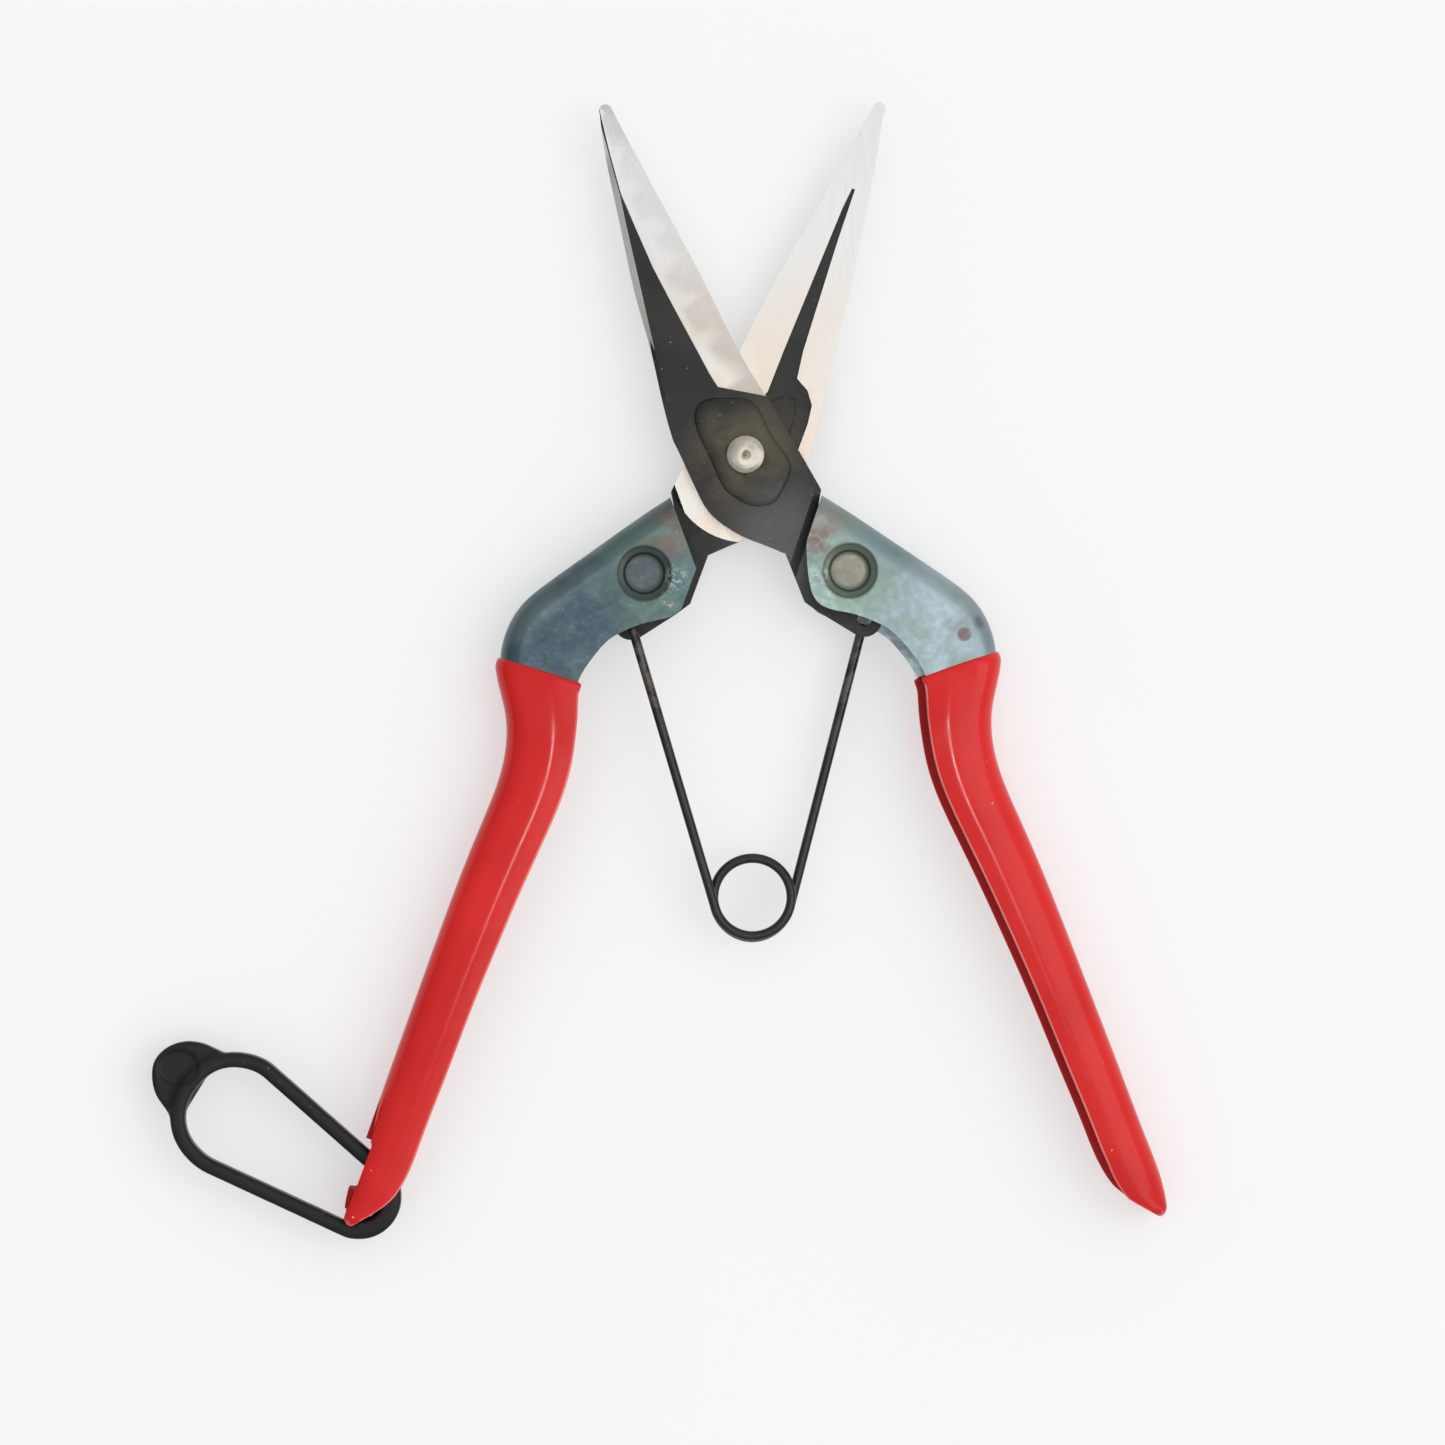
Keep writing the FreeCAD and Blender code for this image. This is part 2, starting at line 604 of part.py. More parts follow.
def strap_loop(growth):
    """The closed line of the strap, moved outwards by the growth."""
    centre = lower_point(STRAP_PIN)
    centre.z = 0
    radius = STRAP_LOOP_R + growth
    far = offset_curve(FAR_END, -growth)
    top = touch_point(centre, radius, V(*far[0], 0), -1)
    low = touch_point(centre, radius, V(*far[-1], 0), 1)
    away = (centre - V(*FAR_END[3], 0)).normalize()
    edges = [Part.Arc(low, centre + away * radius, top).toShape(), spline(far).toShape()]
    edges += polyline([(top.x, top.y), far[0]]) + polyline([far[-1], (low.x, low.y)])
    return edges


def strap():
    """The loop with its pull tab, which sits lower where it crosses the inside of the loop."""
    depth = STRAP_HALF_DEPTH
    outer = prism(strap_loop(STRAP_WIDTH / 2), -depth, depth)
    inside = prism(strap_loop(-STRAP_WIDTH / 2), -depth - 1, depth + 1)
    loop = outer.cut(inside)
    outline = [spline(TAB_OUTLINE).toShape()]
    outline += polyline([TAB_OUTLINE[-1]] + TAB_INSIDE + [TAB_OUTLINE[0]])
    tab = prism(outline, -depth, TAB_TOP)
    shelf = inside.cut(Part.makeBox(200, 200, 9, V(-150, -200, TAB_LIP_TOP - 9)))
    return loop.fuse(tab.cut(shelf)).removeSplitter()


# ---------------------------------------------------------------- the whole tool

def build_nodes():
    left_arm, right_arm = spring_arms()
    return {
        "lower_blade": place_lower(blade(LOWER_EDGE, LOWER_SPINE, SEAT_CLEARANCE)),
        "upper_blade": place_upper(blade(UPPER_EDGE, UPPER_SPINE, OPEN_SEAT_CLEARANCE)),
        "left_handle": place_lower(handle(True)),
        "right_handle": place_upper(handle(False)),
        "left_grip": place_lower(grip(True)),
        "right_grip": place_upper(grip(False)),
        "pivot_pin": pivot_pin(),
        "pivot_washer": pivot_washer(),
        "pivot_nut": pivot_nut(),
        "spring_left_arm": left_arm,
        "spring_right_arm": right_arm,
        "strap": strap(),
    }


def joint_anchors():
    centre = lower_point(STRAP_PIN)
    centre.z = 0
    return {"pivot": PIVOT, "left_seat": lower_point(SEAT), "right_seat": upper_point(SEAT),
            "coil": COIL_CENTRE, "strap": centre}


def main():
    os.makedirs("parts", exist_ok=True)
    nodes = build_nodes()
    whole = FreeCAD.BoundBox()
    for shape in nodes.values():
        whole.add(shape.optimalBoundingBox(False, False))
    shift = V(-whole.Center.x, -whole.Center.y, -whole.ZMin)
    for name, shape in nodes.items():
        shape.translate(shift)
        shape.exportStep("parts/" + name + ".step")
        print(name, "solids", len(shape.Solids), "valid", shape.isValid(), "mm3", round(shape.Volume, 1))
    for name, place in joint_anchors().items():
        print("anchor", name, [round(value, 4) for value in place + shift])
    print("size", [round(value, 2) for value in (whole.XLength, whole.YLength, whole.ZLength)])


main()
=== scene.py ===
import json
import math

import bmesh
import bpy
from mathutils import Matrix, Vector
from mathutils.bvhtree import BVHTree


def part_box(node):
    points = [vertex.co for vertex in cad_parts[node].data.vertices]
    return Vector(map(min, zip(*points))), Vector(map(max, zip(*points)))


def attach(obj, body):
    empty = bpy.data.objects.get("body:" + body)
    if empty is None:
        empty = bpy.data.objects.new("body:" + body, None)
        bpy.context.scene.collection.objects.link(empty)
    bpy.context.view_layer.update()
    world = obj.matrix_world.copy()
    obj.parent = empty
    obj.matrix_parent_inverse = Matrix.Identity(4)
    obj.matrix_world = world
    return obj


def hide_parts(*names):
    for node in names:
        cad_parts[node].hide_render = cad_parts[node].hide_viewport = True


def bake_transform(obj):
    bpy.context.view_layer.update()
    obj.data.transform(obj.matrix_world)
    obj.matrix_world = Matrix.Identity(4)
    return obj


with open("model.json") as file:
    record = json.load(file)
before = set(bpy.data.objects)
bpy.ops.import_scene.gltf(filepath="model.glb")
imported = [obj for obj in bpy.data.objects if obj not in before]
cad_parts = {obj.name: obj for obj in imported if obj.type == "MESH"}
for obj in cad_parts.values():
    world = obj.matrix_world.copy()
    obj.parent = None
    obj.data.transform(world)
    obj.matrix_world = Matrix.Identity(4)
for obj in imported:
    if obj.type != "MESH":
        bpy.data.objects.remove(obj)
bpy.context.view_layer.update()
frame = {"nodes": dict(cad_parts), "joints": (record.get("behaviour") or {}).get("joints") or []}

# Spring-opened garden snips.  Lengths are millimetres until they are put through one of the two half
# frames below or multiplied by MM; in materials, lights and the camera they are metres.  A half frame is
# the closed position of one half of the tool: pivot on the origin, blade along +Y, handle on the +X side,
# outer face of the blade towards +Z.
MM = 0.001
OPEN_UPPER = math.radians(21.65)
OPEN_LOWER = math.radians(20.2)

joints = {joint["name"]: joint for joint in frame["joints"]}
PIVOT = Vector(joints["blade_pivot"]["pos_m"])
COIL = Vector(joints["spring_coil"]["pos_m"])
LEFT_SEAT = Vector(joints["spring_seat"]["pos_m"])
STRAP_PIN = Vector(joints["strap_swing"]["pos_m"])

UPPER = Matrix.Translation(PIVOT) @ Matrix.Rotation(OPEN_UPPER, 4, "Z") @ Matrix.Scale(MM, 4)
LOWER = (Matrix.Translation(PIVOT) @ Matrix.Rotation(-OPEN_LOWER, 4, "Z")
         @ Matrix.Rotation(math.pi, 4, "Y") @ Matrix.Scale(MM, 4))

# dimensions of the pressed handle and of the dip over it
STEEL = 1.2
STEEL_HALF = 5.2
DIP = 0.85
LINING = 0.5
WEB_RADIUS = 4.2
HIDDEN_STEEL_END_Y = -116.0
GRIP_TOP_Y = -43.48
DIMPLE = (8.6, -23.35)

# dimensions of the spring
WIRE_R = 0.77
COIL_R = 6.2
COIL_HALF_HEIGHT = 1.35
LEG_Z = 2.32
LEG_BEND_R = 1.1
PEG_DEPTH = 0.85
SEAT = Vector((8.0, -31.4, 0.0))


# ------------------------------------------------------------------ meshes

def mesh_object(name, vertices, faces):
    mesh = bpy.data.meshes.new(name)
    mesh.from_pydata([tuple(v) for v in vertices], [], faces)
    mesh.validate()
    obj = bpy.data.objects.new(name, mesh)
    bpy.context.scene.collection.objects.link(obj)
    return obj


def apply_modifiers(obj):
    """Turns the object's modifiers into its mesh."""
    graph = bpy.context.evaluated_depsgraph_get()
    mesh = bpy.data.meshes.new_from_object(obj.evaluated_get(graph))
    obj.modifiers.clear()
    obj.data = mesh


def smooth(obj, angle=None):
    """Smooth shading, with sharp edges above the angle where one is given."""
    obj.data.polygons.foreach_set("use_smooth", [True] * len(obj.data.polygons))
    if angle is not None:
        obj.data.set_sharp_from_angle(angle=math.radians(angle))
    obj.data.update()


def even_normals(obj, angle):
    """Smooth rounded edges beside faces that still shade flat."""
    smooth(obj, angle)
    weighted = obj.modifiers.new("weighted", "WEIGHTED_NORMAL")
    weighted.weight = 80
    weighted.keep_sharp = True
    apply_modifiers(obj)


def fix_normals(obj):
    work = bmesh.new()
    work.from_mesh(obj.data)
    bmesh.ops.recalc_face_normals(work, faces=work.faces)
    work.to_mesh(obj.data)
    work.free()


def skin(name, rings, closed=False):
    """A closed surface through rings with equal numbers of points, capped unless it meets itself."""
    count = len(rings[0])
    vertices = [point for ring in rings for point in ring]
    faces = []
    spans = len(rings) if closed else len(rings) - 1
    for i in range(spans):
        here = i * count
        there = ((i + 1) % len(rings)) * count
        for j in range(count):
            k = (j + 1) % count
            faces.append((here + j, here + k, there + k, there + j))
    if not closed:
        faces.append(tuple(range(count))[::-1])
        faces.append(tuple(range((len(rings) - 1) * count, len(rings) * count)))
    obj = mesh_object(name, vertices, faces)
    fix_normals(obj)
    return obj


def ring(centre, radii, height):
    """Points round a vertical axis at one height, one for each of the radii."""
    made = []
    for i, radius in enumerate(radii):
        angle = 2 * math.pi * i / len(radii)
        x = centre[0] + radius * math.cos(angle)
        y = centre[1] + radius * math.sin(angle)
        made.append(Vector((x, y, height)))
    return made


def lathe(name, profile, segments=96, closed=False):
    """A piece turned about the pivot: the profile is a list of (radius, height) in metres."""
    obj = skin(name, [ring(PIVOT, [radius] * segments, height) for radius, height in profile], closed)
    smooth(obj, 35)
    return obj


def cad_copy(name, node, dissolve=0.3):
    """A piece with the exact shape of a CAD node, its flat faces merged, ready for edge rounding."""
    source = frame["nodes"][node].data
    vertices = [v.co.copy() for v in source.vertices]
    faces = [tuple(p.vertices) for p in source.polygons]
    obj = mesh_object(name, vertices, faces)
    work = bmesh.new()
    work.from_mesh(obj.data)
    bmesh.ops.remove_doubles(work, verts=work.verts, dist=2e-6)
    bmesh.ops.dissolve_limit(work, angle_limit=math.radians(dissolve), verts=work.verts, edges=work.edges)
    bmesh.ops.recalc_face_normals(work, faces=work.faces)
    work.to_mesh(obj.data)
    work.free()
    return obj


def round_edges(obj, width, segments=2):
    """Rounds every edge that turns by more than 28 degrees."""
    bevel = obj.modifiers.new("edges", "BEVEL")
    bevel.width = width * MM
    bevel.segments = segments
    bevel.limit_method = "ANGLE"
    bevel.angle_limit = math.radians(28)
    bevel.use_clamp_overlap = True
    bevel.harden_normals = True
    smooth(obj, 40)
    apply_modifiers(obj)


def finish_piece(obj, body, slot, *nodes):
    """Hides the CAD nodes that the piece stands for and, where a body is given, puts it on that body. The
    slot is not used.
    """
    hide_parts(*nodes)
    if body:
        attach(obj, body)


# ------------------------------------------------------------------ materials

class Paint:
    """Short calls for building one material's nodes."""

    def __init__(self, name):
        self.material = bpy.data.materials.new(name)
        self.material.use_nodes = True
        self.tree = self.material.node_tree
        self.shader = self.tree.nodes["Principled BSDF"]

    def node(self, kind, **values):
        made = self.tree.nodes.new(kind)
        for key, value in values.items():
            setattr(made, key, value)
        return made

    def link(self, source, target):
        self.tree.links.new(source, target)

    def put(self, target, value):
        """Links the value where it comes from another node, and otherwise sets it."""
        if isinstance(value, bpy.types.NodeSocket):
            self.link(value, target)
        else:
            target.default_value = value

    def place(self, scale=(1, 1, 1), shift=(0, 0, 0), turn=0.0):
        """Coordinates of the object itself, turned about Z, moved and scaled."""
        where = self.node("ShaderNodeTexCoord")
        move = self.node("ShaderNodeMapping", vector_type="POINT")
        move.inputs["Location"].default_value = shift
        move.inputs["Rotation"].default_value = (0, 0, turn)
        move.inputs["Scale"].default_value = scale
        self.link(where.outputs["Object"], move.inputs["Vector"])
        return move.outputs["Vector"]

    def noise(self, where, scale, detail=3.0, roughness=0.55, distortion=0.0):
        made = self.node("ShaderNodeTexNoise")
        self.link(where, made.inputs["Vector"])
        made.inputs["Scale"].default_value = scale
        made.inputs["Detail"].default_value = detail
        made.inputs["Roughness"].default_value = roughness
        made.inputs["Distortion"].default_value = distortion
        return made.outputs["Fac"]

    def span(self, value, low, high, to_low=0.0, to_high=1.0):
        """Runs smoothly from to_low to to_high while the value goes from low to high."""
        made = self.node("ShaderNodeMapRange", interpolation_type="SMOOTHSTEP")
        self.put(made.inputs["Value"], value)
        made.inputs["From Min"].default_value = low
        made.inputs["From Max"].default_value = high
        made.inputs["To Min"].default_value = to_low
        made.inputs["To Max"].default_value = to_high
        return made.outputs["Result"]

    def maths(self, operation, a, b):
        made = self.node("ShaderNodeMath", operation=operation)
        self.put(made.inputs[0], a)
        self.put(made.inputs[1], b)
        return made.outputs[0]

    def plus(self, a, b):
        return self.maths("ADD", a, b)

    def times(self, a, b):
        return self.maths("MULTIPLY", a, b)

    def mix(self, factor, a, b):
        made = self.node("ShaderNodeMix", data_type="RGBA")
        self.put(made.inputs["Factor"], factor)
        self.put(made.inputs["A"], a)
        self.put(made.inputs["B"], b)
        return made.outputs["Result"]

    def colour(self, value):
        self.put(self.shader.inputs["Base Color"], value)

    def rough(self, value):
        self.put(self.shader.inputs["Roughness"], value)

    def bump(self, height, strength, distance):
        made = self.node("ShaderNodeBump")
        made.inputs["Strength"].default_value = strength
        made.inputs["Distance"].default_value = distance
        self.link(height, made.inputs["Height"])
        self.link(made.outputs["Normal"], self.shader.inputs["Normal"])


def rgb(red, green, blue):
    """A linear colour from the 0 to 255 values that a screen shows."""
    values = []
    for channel in (red, green, blue):
        share = channel / 255
        values.append(share / 12.92 if share <= 0.04045 else ((share + 0.055) / 1.055) ** 2.4)
    return (*values, 1.0)


def vinyl(name, dull, bright, gloss):
    """Dipped vinyl with soft clouds between two reds and a few pale specks; gloss is its roughness."""
    paint = Paint(name)
    here = paint.place()
    clouds = paint.noise(here, 45, 2)
    tone = paint.mix(paint.span(clouds, 0.35, 0.68), dull, bright)
    dots = paint.noise(here, 1100, 1, 0.4)
    sparse = paint.noise(here, 130, 1)
    speck = paint.times(paint.span(dots, 0.77, 0.79), paint.span(sparse, 0.58, 0.64))
    paint.colour(paint.mix(speck, tone, rgb(240, 170, 160)))
    paint.rough(paint.span(paint.noise(here, 240, 3), 0.3, 0.7, gloss, gloss + 0.05))
    waves = paint.noise(here, 120, 2, 0.5)
    paint.bump(waves, 0.1, 0.0002)
    paint.shader.inputs["Specular IOR Level"].default_value = 0.26
    paint.shader.inputs["Subsurface Weight"].default_value = 0.05
    paint.shader.inputs["Subsurface Scale"].default_value = 0.002
    return paint.material


def spot(paint, place, inner, outer):
    """One close to a place on the whole tool and nothing beyond the outer distance, in metres."""
    where = paint.node("ShaderNodeTexCoord")
    away = paint.node("ShaderNodeVectorMath", operation="DISTANCE")
    paint.link(where.outputs["Object"], away.inputs[0])
    away.inputs[1].default_value = place
    return paint.span(away.outputs["Value"], outer, inner)


def tinted_steel(name, matrix, pale):
    """Heat-tinted pressed steel, dark on the left handle and pale on the right one.

    Blue-grey and green all over, olive round the dimple, brown and scuffed towards the blades, with painted
    shade in a dark ring on the dimple's step.
    """
    paint = Paint(name)
    here = paint.place()
    large = paint.noise(here, 75, 2, 0.5, 0.5)
    middle = paint.noise(here, 170, 3, 0.6, 0.4)
    fine = paint.noise(here, 800, 4, 0.6)
    scratch = paint.noise(here, 1300, 4, 0.7)
    outer = STEEL_HALF if pale else -STEEL_HALF
    face = matrix @ Vector((*DIMPLE, outer))

    def shade(on_left, on_right):
        return rgb(*(on_right if pale else on_left))

    def stain(tone, where, reach, pattern, strength, colour):
        """A blotch of colour round a place on the half frame; reach is where it fades, in metres."""
        share = paint.times(spot(paint, matrix @ Vector((*where, outer)), *reach), pattern)
        return paint.mix(paint.times(share, strength), tone, colour)

    tone = paint.mix(paint.span(large, 0.36, 0.62), shade((60, 76, 86), (118, 135, 143)),
                     shade((90, 106, 110), (144, 160, 166)))
    patches = paint.times(paint.span(middle, 0.46, 0.7), 0.7)
    tone = paint.mix(patches, tone, shade((80, 100, 97), (134, 152, 143)))
    tone = stain(tone, DIMPLE, (0.0045, 0.0115), paint.span(large, 0.3, 0.62, 0.3, 1.0), 0.85,
                 shade((82, 106, 98), (124, 148, 132)))
    tone = stain(tone, (4.6, -20.6), (0.001, 0.0062), paint.span(middle, 0.36, 0.66), 0.75,
                 shade((62, 104, 116), (106, 138, 136)))
    tone = stain(tone, (7.2, -15.6), (0.0012, 0.0068), paint.span(middle, 0.4, 0.6), 0.8,
                 shade((106, 96, 88), (130, 118, 110)))
    tone = stain(tone, (5.4, -17.2), (0.0006, 0.0036), paint.span(fine, 0.36, 0.6), 0.8, rgb(118, 98, 92))
    if pale:
        tone = stain(tone, (22.4, -36.2), (0.0014, 0.0046), paint.span(middle, 0.36, 0.6), 0.5,
                     rgb(126, 124, 122))
        tone = stain(tone, (21.8, -39.5), (0.0009, 0.0013), paint.span(scratch, 0.3, 0.5, 0.4, 1.0), 0.85,
                     rgb(106, 84, 78))
        tone = stain(tone, (25.2, -38.6), (0.0008, 0.0018), paint.span(scratch, 0.3, 0.5, 0.3, 1.0), 0.7,
                     rgb(92, 88, 98))
    # painted shade: a dark ring on the dimple's step
    tone = paint.mix(spot(paint, face, 0.0042, 0.0048), tone, shade((66, 74, 72), (92, 102, 90)))
    tone = paint.mix(spot(paint, face, 0.0024, 0.0034), tone, shade((78, 88, 92), (130, 128, 116)))
    if pale:
        tone = stain(tone, DIMPLE, (0.0003, 0.0016), 1.0, 0.5, rgb(146, 120, 100))
    scuff = rgb(166, 172, 168)
    tone = stain(tone, (3.6, -22.4), (0.0006, 0.0026), paint.span(scratch, 0.46, 0.6), 0.7, scuff)
    tone = stain(tone, (3.4, -26.0), (0.0005, 0.002), paint.span(scratch, 0.5, 0.62), 0.6, scuff)
    scratches = paint.times(paint.span(scratch, 0.6, 0.78), 0.45)
    paint.colour(paint.mix(scratches, tone, rgb(150, 160, 158)))
    paint.shader.inputs["Metallic"].default_value = 0.7
    paint.rough(paint.plus(paint.span(middle, 0.3, 0.7, 0.3, 0.42), paint.span(fine, 0.3, 0.7, -0.04, 0.06)))
    paint.bump(fine, 0.16, 0.00008)
    return paint.material


def black_oxide():
    """Blackened forged steel, olive round the pin, worn grey on the heel, with a few pale flecks."""
    paint = Paint("black_oxide_steel")
    here = paint.place()
    clouds = paint.noise(here, 85, 3, 0.6)
    fine = paint.noise(here, 1100, 4, 0.65)
    base = paint.mix(paint.span(clouds, 0.35, 0.7), rgb(27, 27, 29), rgb(41, 39, 38))
    heel = paint.times(spot(paint, PIVOT + Vector((0.006, -0.014, 0.003)), 0.003, 0.013), 0.8)
    base = paint.mix(heel, base, rgb(86, 86, 86))
    near = paint.times(spot(paint, PIVOT, 0.0045, 0.0125), paint.span(clouds, 0.3, 0.6))
    warm = paint.mix(paint.times(near, 0.75), base, rgb(84, 78, 58))
    dots = paint.span(paint.noise(here, 2300, 1, 0.3), 0.76, 0.79)
    sparse = paint.span(paint.noise(here, 260, 1), 0.5, 0.6)
    fleck = paint.times(paint.times(dots, sparse), 0.7)
    paint.colour(paint.mix(fleck, warm, rgb(160, 152, 140)))
    paint.shader.inputs["Metallic"].default_value = 0.2
    paint.shader.inputs["Specular IOR Level"].default_value = 0.36
    paint.rough(paint.span(fine, 0.3, 0.7, 0.36, 0.48))
    paint.bump(fine, 0.16, 0.00006)
    return paint.material


def ground_steel(name, turn):
    """Bright ground faces with fine grinding lines across the blade and a faint straw tint low down."""
    paint = Paint(name)
    here = paint.place()
    lines = paint.noise(paint.place((1.0, 0.05, 1.0), (0, 0, 0), turn), 4200, 2, 0.6)
    clouds = paint.noise(here, 80, 2, 0.5, 0.3)
    low = paint.times(spot(paint, PIVOT, 0.012, 0.042), paint.span(clouds, 0.36, 0.56, 0.35, 1.0))
    base = paint.mix(paint.span(lines, 0.25, 0.75), rgb(198, 198, 197), rgb(206, 206, 204))
    paint.colour(paint.mix(paint.times(low, 0.7), base, rgb(199, 182, 165)))
    paint.shader.inputs["Metallic"].default_value = 0.85
    paint.rough(paint.span(lines, 0.25, 0.75, 0.3, 0.36))
    paint.bump(lines, 0.05, 0.00002)
    return paint.material


def turned_steel():
    """Bright turned steel with tool rings about the pivot."""
    paint = Paint("turned_steel")
    centred = paint.place((1, 1, 1), (-PIVOT.x, -PIVOT.y, 0))
    rings = paint.node("ShaderNodeTexWave", wave_type="RINGS", rings_direction="Z")
    paint.link(centred, rings.inputs["Vector"])
    rings.inputs["Scale"].default_value = 800
    rings.inputs["Distortion"].default_value = 0.6
    clouds = paint.noise(paint.place(), 600, 3)
    paint.colour(paint.mix(paint.span(clouds, 0.35, 0.7), rgb(164, 158, 147), rgb(186, 180, 168)))
    paint.shader.inputs["Metallic"].default_value = 1.0
    paint.rough(paint.span(clouds, 0.3, 0.7, 0.26, 0.38))
    paint.bump(rings.outputs["Fac"], 0.06, 0.00003)
    return paint.material


def spring_steel():
    """Blackened wire, worn grey towards the seats."""
    paint = Paint("blackened_wire")
    here = paint.place()
    clouds = paint.noise(here, 260, 4, 0.65, 0.5)
    where = paint.node("ShaderNodeTexCoord")
    parts = paint.node("ShaderNodeSeparateXYZ")
    paint.link(where.outputs["Object"], parts.inputs["Vector"])
    high = paint.span(parts.outputs["Y"], LEFT_SEAT.y - 0.024, LEFT_SEAT.y - 0.004)
    worn = paint.times(high, paint.span(clouds, 0.42, 0.58))
    base = paint.mix(paint.span(clouds, 0.3, 0.7), rgb(30, 28, 27), rgb(46, 42, 39))
    paint.colour(paint.mix(paint.times(worn, 0.45), base, rgb(112, 106, 100)))
    paint.shader.inputs["Metallic"].default_value = 0.3
    paint.shader.inputs["Specular IOR Level"].default_value = 0.4
    paint.rough(paint.span(clouds, 0.3, 0.7, 0.22, 0.32))
    paint.bump(paint.noise(here, 1500, 3), 0.12, 0.00005)
    return paint.material


def rubber():
    """Black rubber with a little dust."""
    paint = Paint("black_rubber")
    here = paint.place()
    clouds = paint.noise(here, 160, 3, 0.6)
    fine = paint.noise(here, 1400, 3, 0.6)
    base = paint.mix(paint.span(clouds, 0.35, 0.7), rgb(15, 15, 16), rgb(25, 25, 26))
    dust = paint.span(paint.noise(here, 1000, 1, 0.3), 0.74, 0.78)
    paint.colour(paint.mix(paint.times(dust, 0.3), base, rgb(110, 110, 110)))
    paint.shader.inputs["Specular IOR Level"].default_value = 0.24
    paint.rough(paint.span(clouds, 0.3, 0.7, 0.34, 0.46))
    paint.bump(fine, 0.22, 0.00006)
    return paint.material


def floor_material():
    """A pale table lit a little from below, which keeps the shadows and the red bounce light weak."""
    paint = Paint("pale_floor")
    here = paint.place()
    paint.colour(paint.mix(paint.noise(here, 9, 2), rgb(181, 181, 181), rgb(184, 184, 184)))
    paint.rough(0.8)
    paint.shader.inputs["Specular IOR Level"].default_value = 0.25
    paint.shader.inputs["Emission Color"].default_value = (1.0, 1.0, 1.0, 1.0)
    paint.shader.inputs["Emission Strength"].default_value = 0.46
    return paint.material


# ------------------------------------------------------------------ grips

CREST_SHARE = 0.32
CREST_SOFTNESS = 0.7
LIP_SLOPE = 0.12
WEB_SLOPE = 0.07
LIP_CORNER_R = 0.45
INNER_CORNER_R = 1.7

# the mouth, where the dip starts on the steel: its edge runs askew, flares and droops a little
MOUTH_SKEW = -0.0394
MOUTH_SKEW_LENGTH = 14.0
MOUTH_FLARE = 0.16
MOUTH_FLARE_LENGTH = 1.6
MOUTH_DROOP = 0.28
MOUTH_LENGTH = 8.0
SWELL_AT_MOUTH = [0.15, 0.62, 0.86, 0.97]

# the tail, where the lips run together and the web turns in: tables of (distance, place across)
TAIL_END_Y = -137.45
MERGED_LIPS_Y = -132.4
LOWEST_MEASURED_WEB_Y = -136.65
NOSE_START = 1.5
NOSE_LENGTH = 1.7
TAIL_LIP = [(-126.0, 10.0), (-128.3, 10.8), (-130.5, 11.65), (-132.5, 12.75), (-134.1, 13.95),
            (-135.4, 15.05), (-136.4, 15.85), (-137.0, 16.3), (-137.45, 16.75)]
TAIL_WEB = [(-132.6, 19.2), (-134.4, 18.95), (-135.6, 18.6), (-136.4, 18.2), (-137.0, 17.65),
            (-137.45, 17.05)]

# where the CAD grip is measured: how far its lips are trimmed, how far below the mouth that begins, the
# height of the rays that find them, the line that skewed rings turn about, and where the rays start
TRIM = 0.3
MEASURED_BELOW_MOUTH = 1.6
LIP_HEIGHT = 5.4
MIDDLE_X = 18.0
RIGHT_OF_GRIP_X = 45.0
LEFT_OF_GRIP_X = -25.0
THINNEST = 0.3

# distances between sections: fine at both ends and round the bend, coarse on the straight
STEPS_AT_MOUTH = (0.0, 0.07, 0.2, 0.42, 0.75)
STEPS_AT_TAIL = (0.45, 0.25, 0.1, 0.0)
FINE_STEP = 0.6
COARSE_STEP = 1.3
STRAIGHT_TOP_Y = -68
STRAIGHT_END_Y = -126


def arc(x, z, radius, start, end, steps):
    """Points on an arc of a section from one angle to the other, in degrees, without the first."""
    made = []
    for i in range(1, steps + 1):
        angle = math.radians(start + (end - start) * i / steps)
        made.append((x + radius * math.cos(angle), z + radius * math.sin(angle)))
    return made


def flange_half(lip, web, swell, ridge, droop):
    """Section of one flange from the middle of the inside of the web, round the lip, to the outside.

    lip and web are places across the handle, swell is the share of the full dip thickness, and ridge
    is the strength of the long crest along the flange.
    """
    half = STEEL_HALF + DIP * swell - droop
    inside = STEEL_HALF - STEEL - LINING * swell
    width = web - lip
    corner = min(LIP_CORNER_R, 0.2 * width)
    edge_x = lip + corner
    inner_web = max(edge_x + 0.15, web - STEEL - (DIP + LINING) * swell)
    inner_radius = min(INNER_CORNER_R, 0.8 * (inner_web - edge_x))
    radius = min(WEB_RADIUS, 0.7 * width)
    crest = lip + CREST_SHARE * width

    def top(x):
        slope = LIP_SLOPE if x < crest else WEB_SLOPE
        return half - ridge * slope * (math.hypot(x - crest, CREST_SOFTNESS) - CREST_SOFTNESS)

    start = inner_web - inner_radius
    path = [(inner_web, 0.0), (inner_web, inside - inner_radius)]
    path += arc(start, inside - inner_radius, inner_radius, 0, 90, 4)
    path += [(start + (edge_x - start) * i / 4, inside) for i in range(1, 5)]
    path += arc(edge_x, inside + corner, corner, 270, 180, 3)
    path.append((lip, top(edge_x) - corner))
    path += arc(edge_x, top(edge_x) - corner, corner, 180, 90, 4)
    shoulder_x = web - radius
    for i in range(1, 23):
        x = edge_x + (shoulder_x - edge_x) * i / 22
        path.append((x, top(x)))
    path += arc(shoulder_x, top(shoulder_x) - radius, radius, 90, 0, 12)
    path.append((web, 0.0))
    return path


def half_frame_tree(node, matrix):
    """The CAD node in its half frame, to be measured by rays."""
    mesh = frame["nodes"][node].data
    back = matrix.inverted()
    vertices = [back @ v.co for v in mesh.vertices]
    return BVHTree.FromPolygons(vertices, [tuple(p.vertices) for p in mesh.polygons])


